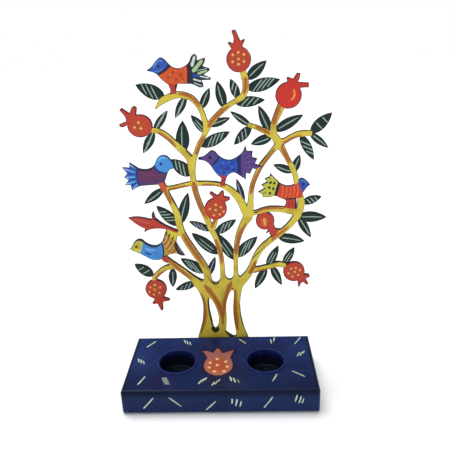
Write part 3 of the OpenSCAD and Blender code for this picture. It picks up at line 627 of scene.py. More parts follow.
# Each leaf: its base, its tip, its widest, and its strokes: how many ribs along it,
# or the slope of its stripes in degrees and how many there are
LEAVES = {
    "leaves_low_left": [
        ((-77, 82), (-97.4, 97), 11.5, (30, 2)),
        ((-54.6, 91), (-55.8, 67.4), 9.4, 1),
        ((-28, 72), (-53, 63.8), 8.6, (62, 3))],
    "leaves_left": [
        ((-17, 84.5), (-44.4, 102.6), 11.5, (-56, 3)),
        ((-14, 81), (-5.2, 104), 7.6, 1),
        ((-42, 144), (-31.4, 180.4), 11.5, 1),
        ((-44, 142.5), (-66.6, 166), 11.5, (2, 4))],
    "leaves_left_tip": [
        ((-57, 185.5), (-79.6, 169.2), 9, 1),
        ((-26, 199), (-47.8, 217), 13.5, (-82, 3))],
    "leaves_centre": [
        ((-8, 136), (-32, 147.4), 7.4, (-56, 3)),
        ((-5, 132.5), (19.4, 148), 10, (66, 3)),
        ((-1.5, 107.5), (-30.2, 133.4), 12, 2),
        ((16.8, 100), (-2.4, 132.4), 11.5, 2)],
    "leaves_centre_right": [
        ((17, 103), (42.4, 127.4), 12, (66, 3)),
        ((28.5, 167), (21, 194.4), 7, 1)],
    "leaves_low_right": [
        ((52.6, 90), (65.8, 116), 9.4, 2),
        ((71, 93), (83.4, 113.4), 8.6, 2),
        ((52.5, 90), (38.6, 63.6), 9.6, 1),
        ((57.4, 92), (69.6, 67.4), 9, 1)],
    "leaves_right": [
        ((90.5, 165.5), (111, 172.4), 8.6, (-48, 3)),
        ((85.5, 150), (117, 149), 11.5, 1),
        ((86.4, 151), (101.2, 125.6), 9, 1),
        ((64.5, 127), (94, 121.4), 10.6, 1)],
    "leaves_upper_right": [
        ((81, 200), (60, 208.2), 8.2, 1),
        ((80.5, 199), (87.4, 218), 8.4, 1)],
    "leaves_crown_right": [
        ((37.5, 249), (16.6, 264.4), 7, 1),
        ((38, 249.5), (19.4, 230.6), 10, (-82, 3)),
        ((57, 241.5), (45, 269.4), 10, 1),
        ((60.5, 243), (89.8, 258.8), 10.6, 1),
        ((59, 238), (37, 230.6), 9.6, 1)],
    "leaves_crown_tip": [
        ((97.5, 240), (118.6, 260), 11.5, (-46, 2)),
        ((96.5, 240.5), (116.4, 224.6), 7.4, 1),
        ((87.5, 239.5), (101.8, 212.4), 9.6, (-25, 3))],
    "leaves_top_right": [
        ((25.5, 276), (17.6, 296), 9, (76, 2)),
        ((33.4, 294.5), (53.4, 311.6), 11, 1),
        ((33, 285.5), (66.6, 293.8), 12.4, (50, 4)),
        ((21, 272.5), (51.6, 274.6), 10.4, (46, 3))],
    "leaves_top_centre": [
        ((11, 267.5), (4.4, 294.4), 10.5, 1),
        ((-34, 222), (-32.4, 256.8), 14, 1),
        ((-8, 243), (-23.4, 262), 8.4, 2),
        ((-6, 250.5), (16.4, 258), 7.8, 1),
        ((-15, 229.5), (15.6, 244), 11.5, (66, 4))],
    "leaves_top_left": [
        ((-48, 280), (-76.6, 293.4), 13.5, (-66, 3)),
        ((-27, 281), (-39.4, 259.6), 8.4, (66, 3)),
        ((-12.5, 267.5), (-3.2, 288), 8.6, 1),
        ((-62, 247.5), (-46.6, 267.4), 8, (60, 3)),
        ((-62, 246.5), (-75.4, 224.4), 9.4, (64, 3))],
}

LAVENDER_LEAVES = [(-14, 81), (28.5, 167), (-8, 136)]


def leaf_strokes(base, tip, width, strokes):
    """The pale strokes on one leaf: ribs along it or stripes across it."""
    base, tip = np.array(base, float), np.array(tip, float)
    along = tip - base
    side = np.array([-along[1], along[0]]) / np.linalg.norm(along)
    colour = LAVENDER if tuple(base) in LAVENDER_LEAVES else PALE
    if not isinstance(strokes, tuple):
        offsets, reach, thick = [0.0], (0.16, 0.86), RIB_W
        if strokes == 2:
            offsets, reach, thick = [-0.15, 0.17], (0.2, 0.74), PAIR_W
        return [brush(colour, [base + along * t + side * width * (o + 0.05 * math.sin(3 * t))
                               for t in np.linspace(*reach, 4)], thick) for o in offsets]
    slope, count = strokes
    way = np.array([math.cos(math.radians(slope)), math.sin(math.radians(slope))])
    across = max(abs(float(np.dot(way, side))), 0.4)
    made = []
    for i in range(count):
        t = 0.25 + 0.56 * (i + 0.5) / count
        half = width / 2 * math.sin(math.pi * t ** 0.85) ** 0.8 / across * 0.84
        centre = base + along * t
        path = [centre + way * half, centre + side * 0.3, centre - way * half]
        made.append(brush(colour, path, RIB_W))
    return made


# Soft orange-brown streaks along the bark: a path and how far the streak reaches each side
STREAKS = {
    "trunk": [
        ([(-18.5, 69), (-13, 61), (-7, 51), (-2.5, 40), (0, 28), (0.5, 16)], 4.4),
        ([(12, 73), (8, 64), (4.5, 52), (2.4, 40), (1.4, 26)], 4.0),
        ([(-24.5, 58), (-21.5, 46), (-21, 32), (-23, 18), (-27, 5)], 4.2),
        ([(16, 62), (15, 50), (15.2, 36), (16, 22), (18, 8)], 4.8)],
    "bough_low_left": [
        ([(-60, 104), (-52, 96), (-43, 87), (-33, 78.5)], 3.4),
        ([(-75, 79), (-69, 85), (-62, 89)], 2.6)],
    "bough_left": [
        ([(-39.5, 133), (-34, 121.5), (-28.5, 111.5), (-22.5, 102), (-18, 92)], 4.2),
        ([(-57, 186), (-53.5, 178), (-50, 168)], 3.4)],
    "bough_centre": [
        ([(-24.5, 192), (-23, 180), (-20.5, 170), (-16, 158), (-12, 150)], 4.4),
        ([(-4, 126), (-1, 116), (1.4, 106), (2, 96)], 3.2),
        ([(-8, 140), (-5, 146), (-2.6, 151)], 2.4)],
    "bough_centre_right": [
        ([(18, 108), (20.5, 122), (24.5, 134), (30, 144)], 4.4),
        ([(36, 178), (39, 189), (46, 203), (54, 215), (62, 225)], 3.4)],
    "bough_right": [
        ([(33, 84), (37, 91), (40, 99)], 3.6),
        ([(58, 124), (67, 131.5), (76, 139)], 2.4),
        ([(76.5, 211), (72, 220), (67.5, 229)], 3.6)],
    "twig_low_right": [([(38, 84), (46, 86.5), (56, 89)], 2.4)],
    "branch_arc": [([(40, 158), (50, 160.8), (62, 161.4), (72, 160)], 2.6)],
    "branch_cross": [([(-52, 184.6), (-40, 186.6), (-28, 188.6)], 2.6),
                     ([(-16, 188.8), (-4, 188), (6, 185.4)], 2.6)],
    "crown_left": [([(-58, 245), (-49, 239), (-41, 231.5)], 3.2)],
    "crown_centre": [
        ([(-6, 250), (0, 258), (8, 265), (16, 270.4)], 3.4),
        ([(32.5, 296), (32.6, 288), (30.6, 281)], 3.2),
        ([(-20, 222), (-15, 233), (-10, 242)], 3.0)],
    "crown_top_left": [([(-34, 283.6), (-25, 281.6), (-17.5, 275.5), (-13, 268)], 2.6)],
    "crown_right": [
        ([(66, 268), (62, 259), (60, 250)], 4.4),
        ([(42, 248.4), (50, 245), (57, 240.6)], 3.0),
        ([(70, 231), (79, 235.6), (88, 239)], 2.2)],
}

# Dark lines painted along some cut edges of the bark: a path and the line's width
BARK_LINE = rgb(36, 36, 22)
BARK_LINES = {
    "trunk": [
        ([(-15.4, 53), (-15.9, 46), (-15.6, 38), (-14.5, 29), (-13.2, 20), (-11.8, 12.4)], 1.7),
        ([(-12.4, 15), (-11, 9.6), (-9.2, 7), (-7.4, 8.6), (-5, 13.6)], 4.6),
        ([(2.6, 7.6), (7.4, 1.4), (12.4, -1.4)], 2.2),
        ([(13.4, 66), (13, 63)], 2.0),
        ([(20.8, 44), (21.4, 31), (23.4, 19), (27.4, 6), (29, 1)], 1.3),
        ([(-32, 83.6), (-26.6, 78.6), (-20.4, 73.4)], 1.4),
        ([(-16.4, 86), (-13.6, 78.6), (-10.8, 73.4), (-7, 70.4), (-3.6, 71.4), (-0.8, 77)], 1.4)],
    "bough_low_left": [
        ([(-55, 105), (-47, 97.4), (-40.2, 90.6), (-32, 82.6), (-26.7, 77.6)], 1.5)],
    "bough_left": [
        ([(-25, 110.6), (-20, 101), (-15.6, 92.6), (-13, 86)], 1.0),
        ([(-54.6, 183.6), (-51.2, 178.8), (-47.4, 171.8), (-44.2, 165.4), (-42.2, 160.8)], 1.6),
        ([(-38, 136), (-34.4, 129), (-31, 122.4), (-26.6, 114)], 1.0)],
    "bough_centre": [([(-29.6, 225.8), (-26.8, 222.2), (-23.8, 219.6)], 2.0)],
    "bough_centre_right": [([(62, 227), (56.4, 221), (49, 213.6), (44.5, 207.6)], 1.1)],
    "bough_right": [([(28.4, 90), (33, 97.6), (41, 107), (50, 115.6)], 1.0)],
    "twig_low_right": [([(41, 92.8), (51.3, 93.8), (62.5, 96.2), (70, 98.4)], 1.5)],
    "branch_cross": [([(-20, 192.6), (-11.5, 193), (-2.5, 191.8), (5, 190.2)], 1.4)],
    "branch_arc": [([(38, 156.4), (41.4, 156.4), (47, 158.6), (53.2, 160.9), (60, 162.4)], 1.4)],
    "crown_left": [([(-30.4, 226.6), (-27, 222.4), (-23.8, 219.6)], 2.2)],
    "crown_centre": [
        ([(-29.6, 225.8), (-26.8, 222.2), (-23.8, 219.6)], 2.0),
        ([(-14.8, 270.4), (-9.8, 262), (-6.8, 256)], 1.0)],
}

# Where each pomegranate's seeds are
SEEDS = {
    "fruit_top": [(26.2, 320), (31.5, 318), (20.8, 318), (26.2, 314), (20.5, 311.6),
                  (31.5, 311.6), (26.2, 309.2)],
    "fruit_left": [(-77, 256.4), (-81.5, 251.6), (-75, 250.4)],
    "fruit_centre": [(-2, 166.4), (3.5, 163.4), (-8.4, 161.6), (-2.4, 160.4), (2, 155.4),
                     (-4.6, 154.6), (6.2, 158.4)],
    "fruit_low_right": [(80, 88.4), (85, 89), (90, 86.4), (84, 84.4), (77, 82.6),
                        (88, 80.2), (81.4, 78.4)],
    "fruit_low_left": [(-76.6, 71), (-70.6, 67.6), (-72, 60.6), (-78.6, 58.6), (-83.4, 62),
                       (-82, 68)],
}

# The rust-coloured heart behind the seeds: its middle and its radius
HEARTS = {"fruit_top": (26.2, 314.4, 8.4), "fruit_left": (-77.6, 252.6, 7.6),
          "fruit_centre": (-2.2, 160.8, 8.8), "fruit_low_right": (83.6, 84.2, 8.4),
          "fruit_low_left": (-77, 65, 8.6)}


def fruit_paint(node):
    """A pomegranate's heart, seeds and glint, where it has them."""
    shapes = []
    if node in HEARTS:
        x, y, r = HEARTS[node]
        shapes += [dot(tuple(b + (h - b) * k / 3 for b, h in zip(BRICK, RUST)), x, y,
                       r * (1.16 - 0.16 * k), lift=0.0) for k in (1, 2, 3)]
        shapes += dots(PEACH, SEEDS[node], r=SEED_R)
    if node == "fruit_low_left":
        shapes.append(dot(rgb(226, 130, 40), -77.4, 65, 1.9))
    if node == "fruit_top":
        # painted highlight: the glint on the varnish
        shapes.append(brush(rgb(226, 190, 190), [(33.2, 323), (36, 320.6), (37.4, 316.4)], 1.5))
    if node == "fruit_top_right":
        # painted highlight: a glint on the fruit
        shapes.append(brush(rgb(240, 128, 52), [(79.6, 284.4), (80.8, 280), (79.8, 276),
                                                (76.6, 273.6)], 2.2))
    if node == "fruit_small":
        shapes.append(dot(rgb(196, 92, 44), 50.2, 145.4, 3.7, lift=0.0, tall=1.5))
        # painted highlight: a pale glint in the middle
        shapes.append(brush(rgb(214, 166, 92), [(49.8, 150), (50.4, 146), (51, 141)], 2.6))
    return shapes


def bird_top_left_paint():
    shapes = [
        field(rgb(40, 84, 172), [(-70, 325), (-38, 325), (-40.4, 312), (-44, 307.6), (-49, 304.6),
                                 (-54, 302.4), (-60, 298), (-70, 300)]),
        brush(rgb(84, 134, 208), [(-57.6, 308.2), (-54, 313), (-50.4, 315.4), (-47, 313.6)], 1.5,
              lift=0.05),
        brush(rgb(70, 118, 200), [(-57, 305.6), (-52, 305.4), (-47.4, 308)], 1.3, lift=0.05),
        dot(NIGHT, -52, 309.6, 1.4),
        brush(PLUM, [(-39, 312.8), (-43, 308.6), (-48.4, 304.6), (-54.6, 301.4)], 2.5)]
    shapes += [brush(rgb(216, 108, 62), [(x, y), (x + 2.6, y + 0.6)], 1.6, lift=0.05) for x, y in
               ((-42, 301.6), (-36, 305), (-31, 294.8), (-27.6, 306), (-40, 296.2))]
    shapes += dots(rgb(184, 56, 26), (
        (-38.4, 303.6, 1.7), (-43.4, 299.4, 1.4), (-30.6, 301.4, 2.0), (-35.4, 297, 1.6),
        (-33.4, 306, 1.1), (-28.6, 297, 1.2)), lift=0.08)
    shapes += [
        field(rgb(22, 40, 44), [(-20.8, 330), (6, 330), (6, 280), (-23, 280), (-21.8, 300)]),
        brush(PLUM, [(-23, 314), (-22.4, 303), (-23.4, 290)], 3.8, start=0.02, end=0.02)]
    green, grey = rgb(170, 198, 142), rgb(150, 172, 172)
    feathers = (
        (WHITE, (-19.6, 308.4), (-16, 318.4), 2.9),
        (green, (-19.2, 303.4), (-8.6, 314.4), 3.5),
        (grey, (-15.4, 304.4), (-4, 306.6), 0.9),
        (green, (-14.4, 301.6), (-4.6, 304.6), 2.1),
        (rgb(32, 72, 170), (-19.6, 300.6), (-11.4, 299), 2.3),
        (WHITE, (-12, 299.4), (-2.8, 297.2), 1.3),
        (WHITE, (-19, 297), (-10, 294.2), 1.6),
        (grey, (-18.6, 293.4), (-10.4, 290.2), 1.5))
    shapes += [brush(colour, [a, b], width, end=0.3) for colour, a, b, width in feathers]
    shapes += [
        field(rgb(186, 60, 32), [(-46, 292.6), (-32.6, 292.6), (-32, 280), (-46, 280)]),
        brush(PLUM, [(-36, 292.6), (-36.6, 288), (-35, 283.6)], 1.9)]
    return shapes


def bird_left_paint():
    shapes = [
        field(rgb(82, 50, 104), [(-84, 196), (-66, 195.4), (-52, 199), (-50, 186), (-84, 186)])]
    shapes += [brush(rgb(112, 50, 84), [(x, y), ((x + z) / 2, y + 0.4), (z, y + w)], 1.2, lift=0.05)
               for x, y, z, w in ((-80, 203.6, -68, 0.4), (-78, 200.8, -62, 0.2),
                                  (-80, 198, -60, 0.4), (-76, 194.6, -64, 0.4),
                                  (-72, 205.8, -66, 1.6))]
    shapes += [
        brush(PLUM, [(-83, 207.4), (-76, 206.4), (-69, 207), (-65, 210)], 1.7, lift=0.05),
        field(SKY, [(-65.6, 212), (-64.4, 218), (-60, 223), (-54, 225), (-46, 223), (-40, 214),
                    (-42, 203), (-47.4, 206), (-50.4, 204.8), (-53, 203), (-57, 203.6),
                    (-61.4, 205.6), (-64.6, 208.6)]),
        brush(rgb(104, 172, 226), [(-60.6, 216), (-56, 219.4), (-50.6, 218.6)], 1.7, lift=0.05),
        brush(rgb(34, 42, 112), [(-65, 212.4), (-62.8, 206.8), (-57.8, 203.6), (-50.6, 202.6)],
              2.0),
        dot(rgb(20, 40, 104), -57.6, 213, 1.6),
        field(rgb(34, 88, 172), [(-83, 225), (-82.4, 208), (-83.6, 198), (-81.8, 189),
                                 (-82, 180), (-104, 180), (-104, 225)])]
    feathers = (((-85, 207), (-90.2, 213.4)), ((-86, 204.2), (-97, 209)),
                ((-86, 199.6), (-97, 199.2)), ((-86, 195), (-96.8, 191.8)),
                ((-84.4, 192), (-90, 186)))
    shapes += brushes(rgb(92, 152, 220), 2.1, feathers)
    shapes += [brush(rgb(170, 190, 230), [((a[0] + 2 * b[0]) / 3, (a[1] + 2 * b[1]) / 3), b], 1.0)
               for a, b in feathers]
    shapes += [brush(rgb(20, 40, 92), [(-83.4, y), ((-83.4 + x) / 2, (y + z) / 2 + 0.5), (x, z)],
                     1.0)
               for y, x, z in ((206.2, -92, 211), (202.2, -95, 204.2), (197.6, -94, 195.6),
                               (193.6, -92, 189.6))]
    shapes += [
        brush(rgb(36, 36, 96), [(-83, 208.4), (-84, 198.6), (-82.2, 189.6)], 1.5,
              start=0.03, end=0.03),
        field(rgb(200, 80, 40), [(-64, 191.4), (-54, 193.6), (-51, 181), (-66, 181)]),
        brush(PLUM, [(-55.4, 194), (-53.8, 188)], 1.1)]
    return shapes


def bird_centre_paint():
    shapes = [
        field(VIOLET, [(-24, 224), (-14, 229), (0, 230), (3.4, 222.6), (2.4, 217), (-0.4, 213.4),
                       (-4.4, 210.2), (-8, 210.4), (-24, 212)]),
        brush(NIGHT, [(3.6, 221.6), (2.4, 216.6), (-0.6, 212.8), (-5.4, 209.4)], 2.2),
        dot(rgb(22, 14, 58), -5.8, 218.2, 1.8),
        field(rgb(44, 98, 196), [(1, 200), (8, 202.6), (13, 204), (14, 196), (2, 194)])]
    shapes += [brush(rgb(66, 118, 206), [(x, y), (x + 2.6, y - 0.4)], 1.3, lift=0.05) for x, y in
               ((6, 212.4), (12.4, 213), (3.6, 204), (15.4, 208), (10, 199.6))]
    shapes += dots(rgb(44, 42, 138), (
        (5.6, 208.6, 1.9), (11.4, 206.4, 2.7), (8.2, 201.4, 2.0), (16.8, 211.4, 1.8),
        (18.4, 204.6, 1.9)), tall=0.72, lift=0.1)
    shapes += [
        field(rgb(22, 30, 92), [(20.8, 226), (26.4, 226), (26, 208), (26.4, 190), (20.8, 190),
                                (22.6, 208)]),
        field(VIOLET, [(26.4, 236), (52, 236), (52, 188), (26.4, 188), (26, 208)])]
    shapes += [brush(rgb(100, 74, 144), [(27.6, y), (x, z)], 1.0, lift=0.06) for y, x, z in
               ((217, 30.6, 225), (214, 36.6, 219.6), (211, 40, 213.4), (207, 44, 207),
                (203, 38, 202.6), (200, 31, 196))]
    shapes += dots(rgb(62, 42, 104), (
        (29.4, 219), (32.6, 215), (36.4, 211.6), (33, 208.6), (38.6, 207), (31, 203.6),
        (34.6, 202), (29.4, 208.4)), r=0.8, lift=0.06)
    shapes.append(field(rgb(176, 52, 50), [(12, 198), (1, 199.6), (1, 184), (12, 184)]))
    shapes.append(brush(PLUM, [(11, 197), (9, 192), (9.4, 188)], 0.9))
    return shapes


def bird_right_paint():
    shapes = [brush(rgb(222, 104, 52), [(x + 0.6, 187), (x + 1.6, 179.6), (x - 0.6, 171)], 1.3,
                    lift=0.06)
              for x in (68.6, 72.6, 76.6, 80.6, 84.4)]
    shapes += [
        brush(rgb(206, 120, 110), [(67, 189.4), (75, 186), (82, 186.4), (86.4, 189)], 0.7,
              lift=0.04),
        field(rgb(34, 76, 168), [(86, 199), (86.4, 189.4), (88, 183.4), (91, 177.6),
                                 (93, 175.4), (103, 181), (103, 195), (90, 199)]),
        brush(rgb(76, 122, 200), [(88.4, 190.4), (91.6, 190.8), (94.6, 188.4)], 1.2, lift=0.06),
        dot(rgb(18, 44, 122), 90.8, 186.6, 1.8),
        dot(NIGHT, 98, 186.4, 1.2, lift=0.08),
        field(LIME, [(65.4, 194), (63.4, 182.5), (60.6, 172), (40, 168), (40, 204), (60, 204)]),
        brush(rgb(30, 34, 34), [(66.4, 191), (64.2, 182.5), (61.4, 173)], 3.1,
              start=0.03, end=0.03)]
    shapes += dots(BLACK, (
        (57, 189.6), (60.8, 188.8), (55.6, 184.2), (59.6, 182.8), (56.2, 177.8)), r=1.35, tall=1.25)
    shapes += brushes(rgb(112, 116, 44), 1.0, (
        ((54.6, 195.6), (57.6, 193)), ((52.4, 189.8), (55.4, 189.6)),
        ((50, 183.2), (53, 184)), ((48.4, 177.4), (52.4, 179))))
    shapes += [
        field(rgb(190, 58, 40), [(70, 171.2), (86, 172.2), (87, 157), (68, 157)]),
        *brushes(rgb(150, 30, 30), 1.0, (
            ((76.6, 170.6), (76.4, 166), (76, 161.6)),
            ((80.2, 170.6), (80.2, 166), (79.8, 161))), lift=0.05),
        brush(PLUM, [(72.6, 171.4), (78, 171), (85, 171.8)], 1.5),
        brush(PLUM, [(84.2, 171.4), (84, 166), (83.4, 159.6)], 2.3, end=0.1),
        brush(PLUM, [(73.2, 170.8), (73.2, 166), (72, 161.6)], 1.3)]
    return shapes


def bird_low_left_paint():
    shapes = [brush(rgb(50, 118, 196), [(x + 0.8, 119.6), (x, 112), (x + 1.4, 103.6)], 0.9,
                    lift=0.05)
              for x in (-84.6, -81.6, -72.6, -69.8, -67.2)]
    shapes += [
        brush(rgb(112, 174, 228), [(-84, 117.6), (-78, 114.6), (-71, 114.8)], 1.7, lift=0.05),
        field(rgb(188, 182, 66), [(-104, 110), (-99, 122), (-94, 131), (-85.4, 130), (-85, 124),
                                  (-86.6, 118), (-88.6, 113), (-90, 107), (-104, 108)]),
        brush(rgb(214, 210, 112), [(-96, 116.6), (-91.6, 114.4), (-88.4, 115.4)], 1.5, lift=0.05),
        brush(rgb(34, 48, 78), [(-98, 120.6), (-94.8, 125.4), (-91, 127.4), (-86.5, 126.8),
                                (-82, 123), (-76, 119.4), (-70, 119.2), (-64.6, 122.6)], 2.3),
        dot(rgb(146, 124, 20), -93, 119.4, 2.1),
        dot(BLACK, -93, 119.4, 1.0),
        dot(BLACK, -100.4, 116.2, 1.2, lift=0.08),
        brush(rgb(20, 66, 166), [(-83.6, 112), (-80, 110.2), (-76, 109.4)], 2.4),
        field(rgb(186, 146, 50), [(-63.4, 142), (-62.6, 114), (-64, 104.6), (-56, 104),
                                  (-38, 104), (-38, 142)]),
        field(rgb(204, 194, 52), [(-58.4, 142), (-55.4, 131), (-49.6, 126.6), (-38, 127),
                                  (-38, 142)]),
        field(rgb(40, 34, 34), [(-48.4, 124), (-50.4, 117), (-47.6, 111), (-44, 104), (-36, 104),
                                (-42, 118)])]
    shapes += brushes(rgb(150, 84, 30), 1.9, (
        ((-61.8, 120), (-54.6, 131.4)), ((-60.4, 114.6), (-51.4, 126.6)),
        ((-58.4, 111), (-50, 121.4)), ((-54, 110), (-49, 115.6))))
    shapes += brushes(rgb(222, 186, 112), 0.9, (
        ((-60.6, 123.6), (-57, 130)), ((-59.8, 117.4), (-54.4, 125)),
        ((-57.4, 113.4), (-52.4, 120))))
    shapes += [brush(rgb(34, 32, 18), [a, b], width) for a, b, width in
               (((-59.6, 131.6), (-56.8, 137.4), 1.3), ((-56.2, 129.6), (-54, 134.6), 1.7),
                ((-52.4, 127), (-50, 131.4), 1.5), ((-61.8, 125), (-60.4, 129.4), 1.1),
                ((-55.4, 121.6), (-53, 124.6), 1.3), ((-50.2, 119.4), (-48.6, 125.4), 1.2))]
    shapes += [
        brush(rgb(176, 122, 112), [(-47, 119.6), (-44, 113.4), (-41.4, 109)], 1.0),
        brush(rgb(24, 36, 76), [(-64, 122.8), (-62.8, 114), (-64.2, 105)], 1.8,
              start=0.03, end=0.03),
        field(rgb(168, 66, 44), [(-67.6, 104.2), (-59.2, 108.4), (-56, 102), (-59, 96),
                                 (-67, 99.6)])]
    return shapes


def bud_paint():
    return [brush(rgb(190, 82, 62), [(-92, 152), (-84, 149.4), (-75, 146.6)], 1.9, lift=0.06),
            brush(rgb(150, 52, 40), [(-86, 146.4), (-76, 143.4), (-66, 142)], 1.6, lift=0.06),
            brush(rgb(66, 40, 62), [(-70.6, 161), (-70.8, 153.6)], 2.6, start=0.02, end=0.1),
            brush(rgb(26, 20, 28), [(-71.6, 152.8), (-63, 147.4), (-54, 142.2), (-44.4, 137)],
                  2.7, start=0.3, end=0.04)]


BIRDS = {"bird_top_left": (ORANGE, bird_top_left_paint, "orange_bird"),
         "bird_left": (PURPLE, bird_left_paint, "purple_bird"),
         "bird_centre": (ROYAL, bird_centre_paint, "blue_bird"),
         "bird_right": (rgb(204, 62, 34), bird_right_paint, "red_bird"),
         "bird_low_left": (SKY, bird_low_left_paint, "pale_blue_bird")}


def paint_plan(node):
    """A plate's ground colour, shapes, streaks, material and material slot."""
    if node in LEAVES:
        shapes = [s for leaf in LEAVES[node] for s in leaf_strokes(*leaf)]
        return LEAF, shapes, (), LEAF_PAINT, "leaf_enamel"
    if node.startswith("fruit_"):
        ground = SCARLET if node == "fruit_top_right" else BRICK
        return ground, fruit_paint(node), (), FRUIT_PAINT, "fruit_enamel"
    if node == "red_bud":
        return rgb(186, 58, 44), bud_paint(), (), BUD_PAINT, "bud_enamel"
    if node in BIRDS:
        ground, shapes, slot = BIRDS[node]
        return ground, shapes(), (), BIRD_PAINT, slot
    lines = [brush(BARK_LINE, points, width) for points, width in BARK_LINES.get(node, ())]
    return MUSTARD, lines, STREAKS.get(node, ()), BARK_PAINT, "bark_enamel"


def build_tree():
    """Every plate of the tree, in place of its CAD node."""
    nodes = [n for n in sorted(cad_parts)
             if n.startswith(("bough_", "branch_", "crown_", "twig_", "bird_", "fruit_",
                              "leaves_")) or n in ("trunk", "red_bud")]
    raw = {n: cad_loops(n) for n in nodes}
    loops, flags = {}, {}
    for n in nodes:
        free = free_segments(raw[n], [raw[m] for m in nodes if m != n])
        done = [smooth_loop(loop, f, STEP) for loop, f in zip(raw[n], free)]
        loops[n], flags[n] = [d[0] for d in done], [d[1] for d in done]
    parts = [segments(loops[n], flags[n]) for n in nodes]
    free_edges = (np.concatenate([p[0] for p in parts]), np.concatenate([p[1] for p in parts]))
    for n in nodes:
        ground, shapes, streaks, material, slot = paint_plan(n)
        piece = build_plate(n + "_enamel", loops[n], flags[n], shapes, ground, on_tree,
                            free_edges, streaks=streaks)
        piece.data.materials.append(material)
        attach(piece, "holder")
        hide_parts(n)


# ---------- the paint on the base ----------

PAINT_T = 0.14                 # how far the base's paint stands up


def on_top(u, v, w):
    """Where a point drawn on the base's top is, w below the paint's surface."""
    return ((u + BASE_X) * MM, (v + BASE_Y) * MM, (TOP_Z + PAINT_T - w) * MM)


def on_front(u, v, w):
    """Where a point drawn on the base's front is, w behind the paint's surface."""
    return ((u + BASE_X) * MM, (FRONT_Y - PAINT_T + w) * MM, (v + BASE_Z) * MM)


def turned(loop):
    """The loop, run anticlockwise."""
    x, y = loop[:, 0], loop[:, 1]
    turn = np.sum(x * np.roll(y, -1) - np.roll(x, -1) * y)
    return loop if turn > 0 else loop[::-1]


def paint_patch(name, outlines, shapes, colour, place, material):
    """Paint laid on the base, as thin domed patches."""
    loops = [turned(o["outline"]) for o in outlines]
    done = [smooth_loop(loop, np.ones(len(loop), bool), 0.7) for loop in loops]
    piece = build_plate(name, [d[0] for d in done], [d[1] for d in done], shapes, colour, place,
                        depth=PAINT_T + 0.05, radius=0.12, step=0.5, grid=0.8,
                        both_faces=False)
    piece.data.materials.append(material)
    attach(piece, "holder")


# Each dash: where its stroke starts and ends, and its width
TOP_DASHES = [
    ((-88, 28), (-78.6, 40.4), 2.2), ((-45.6, 42), (-43, 34.6), 2.0),
    ((-42.4, 40.4), (-40, 32), 2.0), ((-39, 38), (-36.4, 31), 1.9), ((19.6, 42), (28, 32.4), 2.1),
    ((56.6, 41), (57.4, 32), 2.0), ((61.6, 45), (60, 36), 2.0), ((83.6, 30), (93, 45.6), 1.8),
    ((84, 7), (88, 15), 2.0), ((87.6, 8), (91, 16), 1.9), ((91, 12), (93.6, 18), 1.8),
    ((76, -18), (89, -28), 1.8), ((60, -22.4), (54, -35), 1.9),
    ((-22.6, -37.6), (-19.2, -30.6), 1.9), ((-19.8, -35), (-16.4, -28), 1.9),
    ((-16.6, -32), (-14, -26.4), 1.8), ((-8.6, -40.2), (-5.6, -33.8), 1.9),
    ((-5.4, -38.4), (-2.4, -31.8), 1.9), ((-3, -35.4), (0, -29.6), 1.7),
    ((10, -26), (12, -34), 2.2), ((13.6, -28), (16, -36), 2.0), ((18, -31), (20, -37), 1.3),
    ((-62.2, -27.4), (-55.8, -28), 1.5), ((-61.2, -30.4), (-54.4, -31), 1.6),
    ((-60, -33.4), (-53, -34), 1.6), ((-58.2, -36.4), (-52, -37), 1.4),
    ((-80, -24), (-86, -38.4), 2.0), ((-93.6, 7), (-91.6, -0.2), 2.0),
    ((-90.4, 5.6), (-88.4, -2.4), 2.0), ((-87.6, 3), (-85, -3.6), 1.7)]
FRONT_DASHES = [
    ((-79.6, 7), (-67.6, 21), 1.9), ((-52.4, 21), (-39.6, 9), 1.8), ((-15, 4.4), (-4, 16), 1.9),
    ((12.4, 19), (12, 12), 2.0), ((17.6, 18.4), (15.6, 9), 2.0), ((21.6, 15.6), (20, 8), 1.8),
    ((44.4, 6.4), (54, 21), 1.8), ((78.4, 23), (76, 13.6), 2.0), ((82.4, 21), (80, 12), 1.9),
    ((85, 18.4), (83, 11.6), 1.7)]

# The painted pomegranate: its skin, the dark edge round it, and its seeds
BADGE = [(-21.6, 18.6), (-17.6, 19.4), (-12.6, 17), (-9.6, 15), (-8.2, 18.4), (-6.4, 22.4),
         (-4.6, 24.4), (-2.8, 22.4), (-1, 18.4), (0.6, 15), (4.4, 16), (9, 18.8), (13.6, 19.8),
         (11.8, 13.4), (9.6, 6.6), (11.8, 0), (13, -7.6), (11.4, -14.6), (6.6, -20.6),
         (0.4, -24), (-6, -24), (-12.4, -20.6), (-17, -14.6), (-18.8, -7.6), (-17.8, 0),
         (-15.6, 6), (-18.2, 12.6)]
BADGE_EDGE = [(-24.4, 20.2), (-18, 21.4), (-12.6, 19.4), (-10.4, 18), (-9.4, 21), (-7, 25),
              (-4.6, 26.8), (-2, 25), (0, 21), (1.4, 18), (4.4, 18.4), (10, 21), (16.4, 21.8),
              (14, 13.4), (11.8, 7), (13.8, 0), (15, -8), (13, -15.8), (7.6, -22.2),
              (0.8, -25.8), (-6.4, -25.8), (-13.6, -22.2), (-18.8, -15.6), (-20.8, -7.8),
              (-19.8, 0.2), (-17.8, 6.4), (-20.4, 12.6)]
BADGE_SEEDS = [(-4.8, 4), (-12, -2.6), (5, -1), (-4, -7), (-12.6, -10.8), (7, -9.6),
               (-6.6, -17.4), (3.6, -17.4)]


def dashes(rows):
    """The outlines of the dashes. The patch made from them gives them its own colour."""
    return [brush(PALE, [a, ((a[0] + b[0]) / 2 + 0.2, (a[1] + b[1]) / 2), b], 0.86 * width,
                  start=0.12, end=0.24) for a, b, width in rows]


